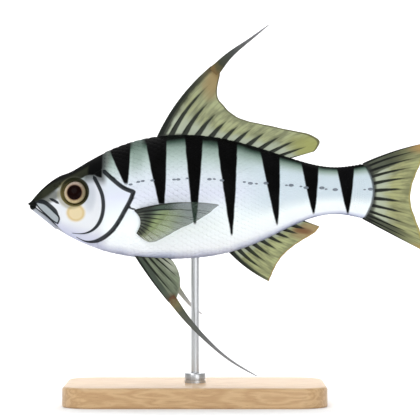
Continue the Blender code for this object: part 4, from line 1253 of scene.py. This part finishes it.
def make_pelvic_fins(tree):
    """The pelvic fins, each drawn out into a streamer."""
    root = edge_root(belly_at, PELVIC_ROOTS, ROOT_SINK)
    near_paint = fin_paint(
        "pelvic_fin_paint", rays=PELVIC_RAYS, olive=(0.46, 0.50, 0.41), rim=(0.50, 0.52, 0.45),
        patches=[
            ((0.66, 0.68, 0.61), (0.95, 0.5), (0.38, 0.7)), ((0.37, 0.25, 0.16), (0.04, 1.0), (0.2, 0.14))],
        pale=0.1, wedge=(1.05, 0.25), borders=(0.19, 0.0, (0.22, 0.26, 0.22)))
    far_paint = fin_paint(
        "far_pelvic_fin_paint", rays=PELVIC_RAYS, olive=(0.58, 0.62, 0.57), rim=(0.52, 0.55, 0.49),
        patches=[], pale=0.3, wedge=(0.9, 0.2), borders=(0.12, 0.0, (0.34, 0.38, 0.34)))
    filament_paints = (
        streamer_paint("pelvic_filament_paint", (0.37, 0.25, 0.15), 0.10),
        streamer_paint("far_pelvic_filament_paint", (0.62, 0.63, 0.59), 0.45))
    shapes = zip(SIDES, (PELVIC_LEFT, PELVIC_RIGHT), (near_paint, far_paint), filament_paints)
    for (word, side), shape, paint, filament_paint in shapes:
        def lateral(x, z, across, side=side):
            return side * (PELVIC_OUT + PELVIC_SPLAY * np.maximum(0.0, belly_at(x) - z))

        line, width = shape["streamer"], shape["width"]
        margin = [*streamer_edge(line, width)[::-1], *shape["margin"]]
        nodes = ["pelvic_fin_" + word]
        make_fin("blade_" + word, nodes, paint, tree, root, margin, PELVIC_BOW, lateral, first=1.5)
        make_streamer(
            "pelvic_filament_" + word, line, width, shape["taper"], lateral, filament_paint,
            "pelvic_streamer_" + word)


def node_box(name):
    """A CAD node's low and high corner, in millimetres."""
    return (np.array(corner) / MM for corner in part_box(name))


def turned_piece(name, profile, material, node):
    """A piece turned about the rod's axis from a closed profile of (radius, height) points."""
    turn = turns(TURNED_SIDES)[:, None]
    radius, height = np.array(profile, float).T
    rings = np.stack([radius * np.cos(turn), radius * np.sin(turn), np.tile(height, (TURNED_SIDES, 1))], -1)
    count = TURNED_SIDES * len(profile)
    faces = [tuple(k % count for k in face) for face in ring_faces(TURNED_SIDES + 1, len(profile))]
    piece = turned_outwards(new_piece(name, rings, faces, material, on_fish=False))
    piece.data.set_sharp_from_angle(angle=SHARP_ANGLE)
    settle(piece, "steel", node)


def make_base(maple):
    """A block with round corners and an eased upper edge."""
    low, high = node_box("stand_base")
    middle_x, middle_y = (high - low)[:2] / 2 - BASE_CORNER
    outline = []
    for quarter, (sign_x, sign_y) in enumerate(((1, 1), (-1, 1), (-1, -1), (1, -1))):
        for turn in np.radians(np.linspace(0, 90, 13)) + quarter * np.pi / 2:
            outline.append((sign_x * middle_x, sign_y * middle_y, math.cos(turn), math.sin(turn)))
    layers = [(BASE_CORNER - BASE_FOOT, 0.0), (BASE_CORNER, BASE_FOOT)]
    for turn in np.radians(np.linspace(0, 90, 7)):
        eased = BASE_BEVEL * (1 - math.cos(turn)), BASE_BEVEL * (1 - math.sin(turn))
        layers.append((BASE_CORNER - eased[0], high[2] - eased[1]))
    points = [(x + radius * cos, y + radius * sin, z) for radius, z in layers for x, y, cos, sin in outline]
    faces = tube_faces(len(layers), len(outline))
    base = new_piece("base_block", points, faces, maple, on_fish=False)
    base.data.set_sharp_from_angle(angle=SHARP_ANGLE)
    settle(base, "wood", "stand_base")


def make_rod_and_collar(rod_steel, collar_steel):
    """A brushed rod from the base into the belly, and the turned collar at its foot."""
    low, high = node_box("stand_rod")
    radius, hollow = (high[0] - low[0]) / 2, 0.01
    foot, head = low[2], high[2]
    turned_piece("rod", [
        (hollow, foot), (radius, foot), (radius, head - 0.3), (radius - 0.3, head), (hollow, head),
    ], rod_steel, "stand_rod")
    low, high = node_box("stand_collar")
    outer, foot, head = (high[0] - low[0]) / 2, low[2] - 0.3, high[2]
    turned_piece("collar", [
        (radius + 0.05, foot), (outer, foot), (outer, foot + 1.1), (outer - 0.25, foot + 1.3),
        (outer - 0.25, foot + 1.5), (outer, foot + 1.7), (outer, head - 0.7), (outer - 0.2, head - 0.2),
        (outer - 0.7, head), (radius + 0.05, head),
    ], collar_steel, "stand_collar")


def make_stage():
    """A near-white floor that curves up into a backdrop."""
    half_width, front, bend_start, bend, height = 2500, -1800, 1200, 600, 2400
    profile = [(front, 0), (bend_start, 0)]
    for turn in np.radians(np.linspace(6, 90, 15)):
        profile.append((bend_start + bend * math.sin(turn), bend - bend * math.cos(turn)))
    profile.append((bend_start + bend, height))
    points = [(x, y, z) for x in (-half_width, half_width) for y, z in profile]
    new_piece("studio_floor", points, grid_faces(2, len(profile)), stage_paint(), on_fish=False)


def add_light(name, place, target, power, size=1.0):
    """A soft round lamp that looks at a target."""
    data = bpy.data.lights.new(name, "AREA")
    data.energy = power
    data.shape = "DISK"
    data.size = size
    lamp = add_object(name, data)
    lamp.location = place
    lamp.rotation_euler = (Vector(target) - Vector(place)).to_track_quat("-Z", "Y").to_euler()


def make_camera():
    """The photo's level side view, framed so that a pixel at the fish's middle is PHOTO_PIXEL."""
    data = bpy.data.cameras.new("photo_view")
    data.lens = 200
    data.sensor_width = 36
    data.clip_end = 10
    camera = add_object("photo_view", data)
    frame_width = PHOTO_PIXELS * PHOTO_PIXEL * MM
    centre_x = (PHOTO_PIXELS / 2 - SNOUT_PIXEL[0]) * PHOTO_PIXEL + FISH_X
    centre_z = (SNOUT_PIXEL[1] - PHOTO_PIXELS / 2) * PHOTO_PIXEL + FISH_Z
    camera.location = centre_x * MM, -frame_width * data.lens / data.sensor_width, centre_z * MM
    camera.rotation_euler = math.pi / 2, 0, 0
    bpy.context.scene.camera = camera


def light_studio():
    """Broad soft light from the front left and above, one lamp for the backdrop and a pale surround."""
    add_light("key", (-0.7, -1.1, 0.9), (0, 0, 0.08), 7.4)
    add_light("fill", (0.5, -1.2, 0.1), (0, 0, 0.08), 5.0)
    add_light("top", (0.0, 0.15, 1.2), (0, 0, 0.05), 3.0)
    add_light("backdrop", (0.0, 0.8, 1.5), (0, 1.6, 0.2), 24.0, 1.2)
    world = bpy.data.worlds.new("studio")
    world.use_nodes = True
    surround = world.node_tree.nodes["Background"].inputs
    surround["Color"].default_value = (1, 1, 1, 1)
    surround["Strength"].default_value = 0.45
    bpy.context.scene.world = world
    bpy.context.scene.view_settings.view_transform = "Standard"


def main():
    make_camera()
    skin = skin_paint()
    ovals, rods = oval_tree(), ray_tree()
    make_skin(skin)
    make_gill_covers(skin)
    make_eyes(eye_paint())
    make_scales(skin, ovals)
    make_lateral_line(pore_paint(), ovals)
    make_median_fins(rods)
    make_pectoral_fins(rods)
    make_pelvic_fins(rods)
    make_base(maple_paint())
    make_rod_and_collar(steel_paint("brushed_steel", (9, 9, 1)), steel_paint("turned_steel", (1, 1, 9)))
    make_stage()
    light_studio()


main()
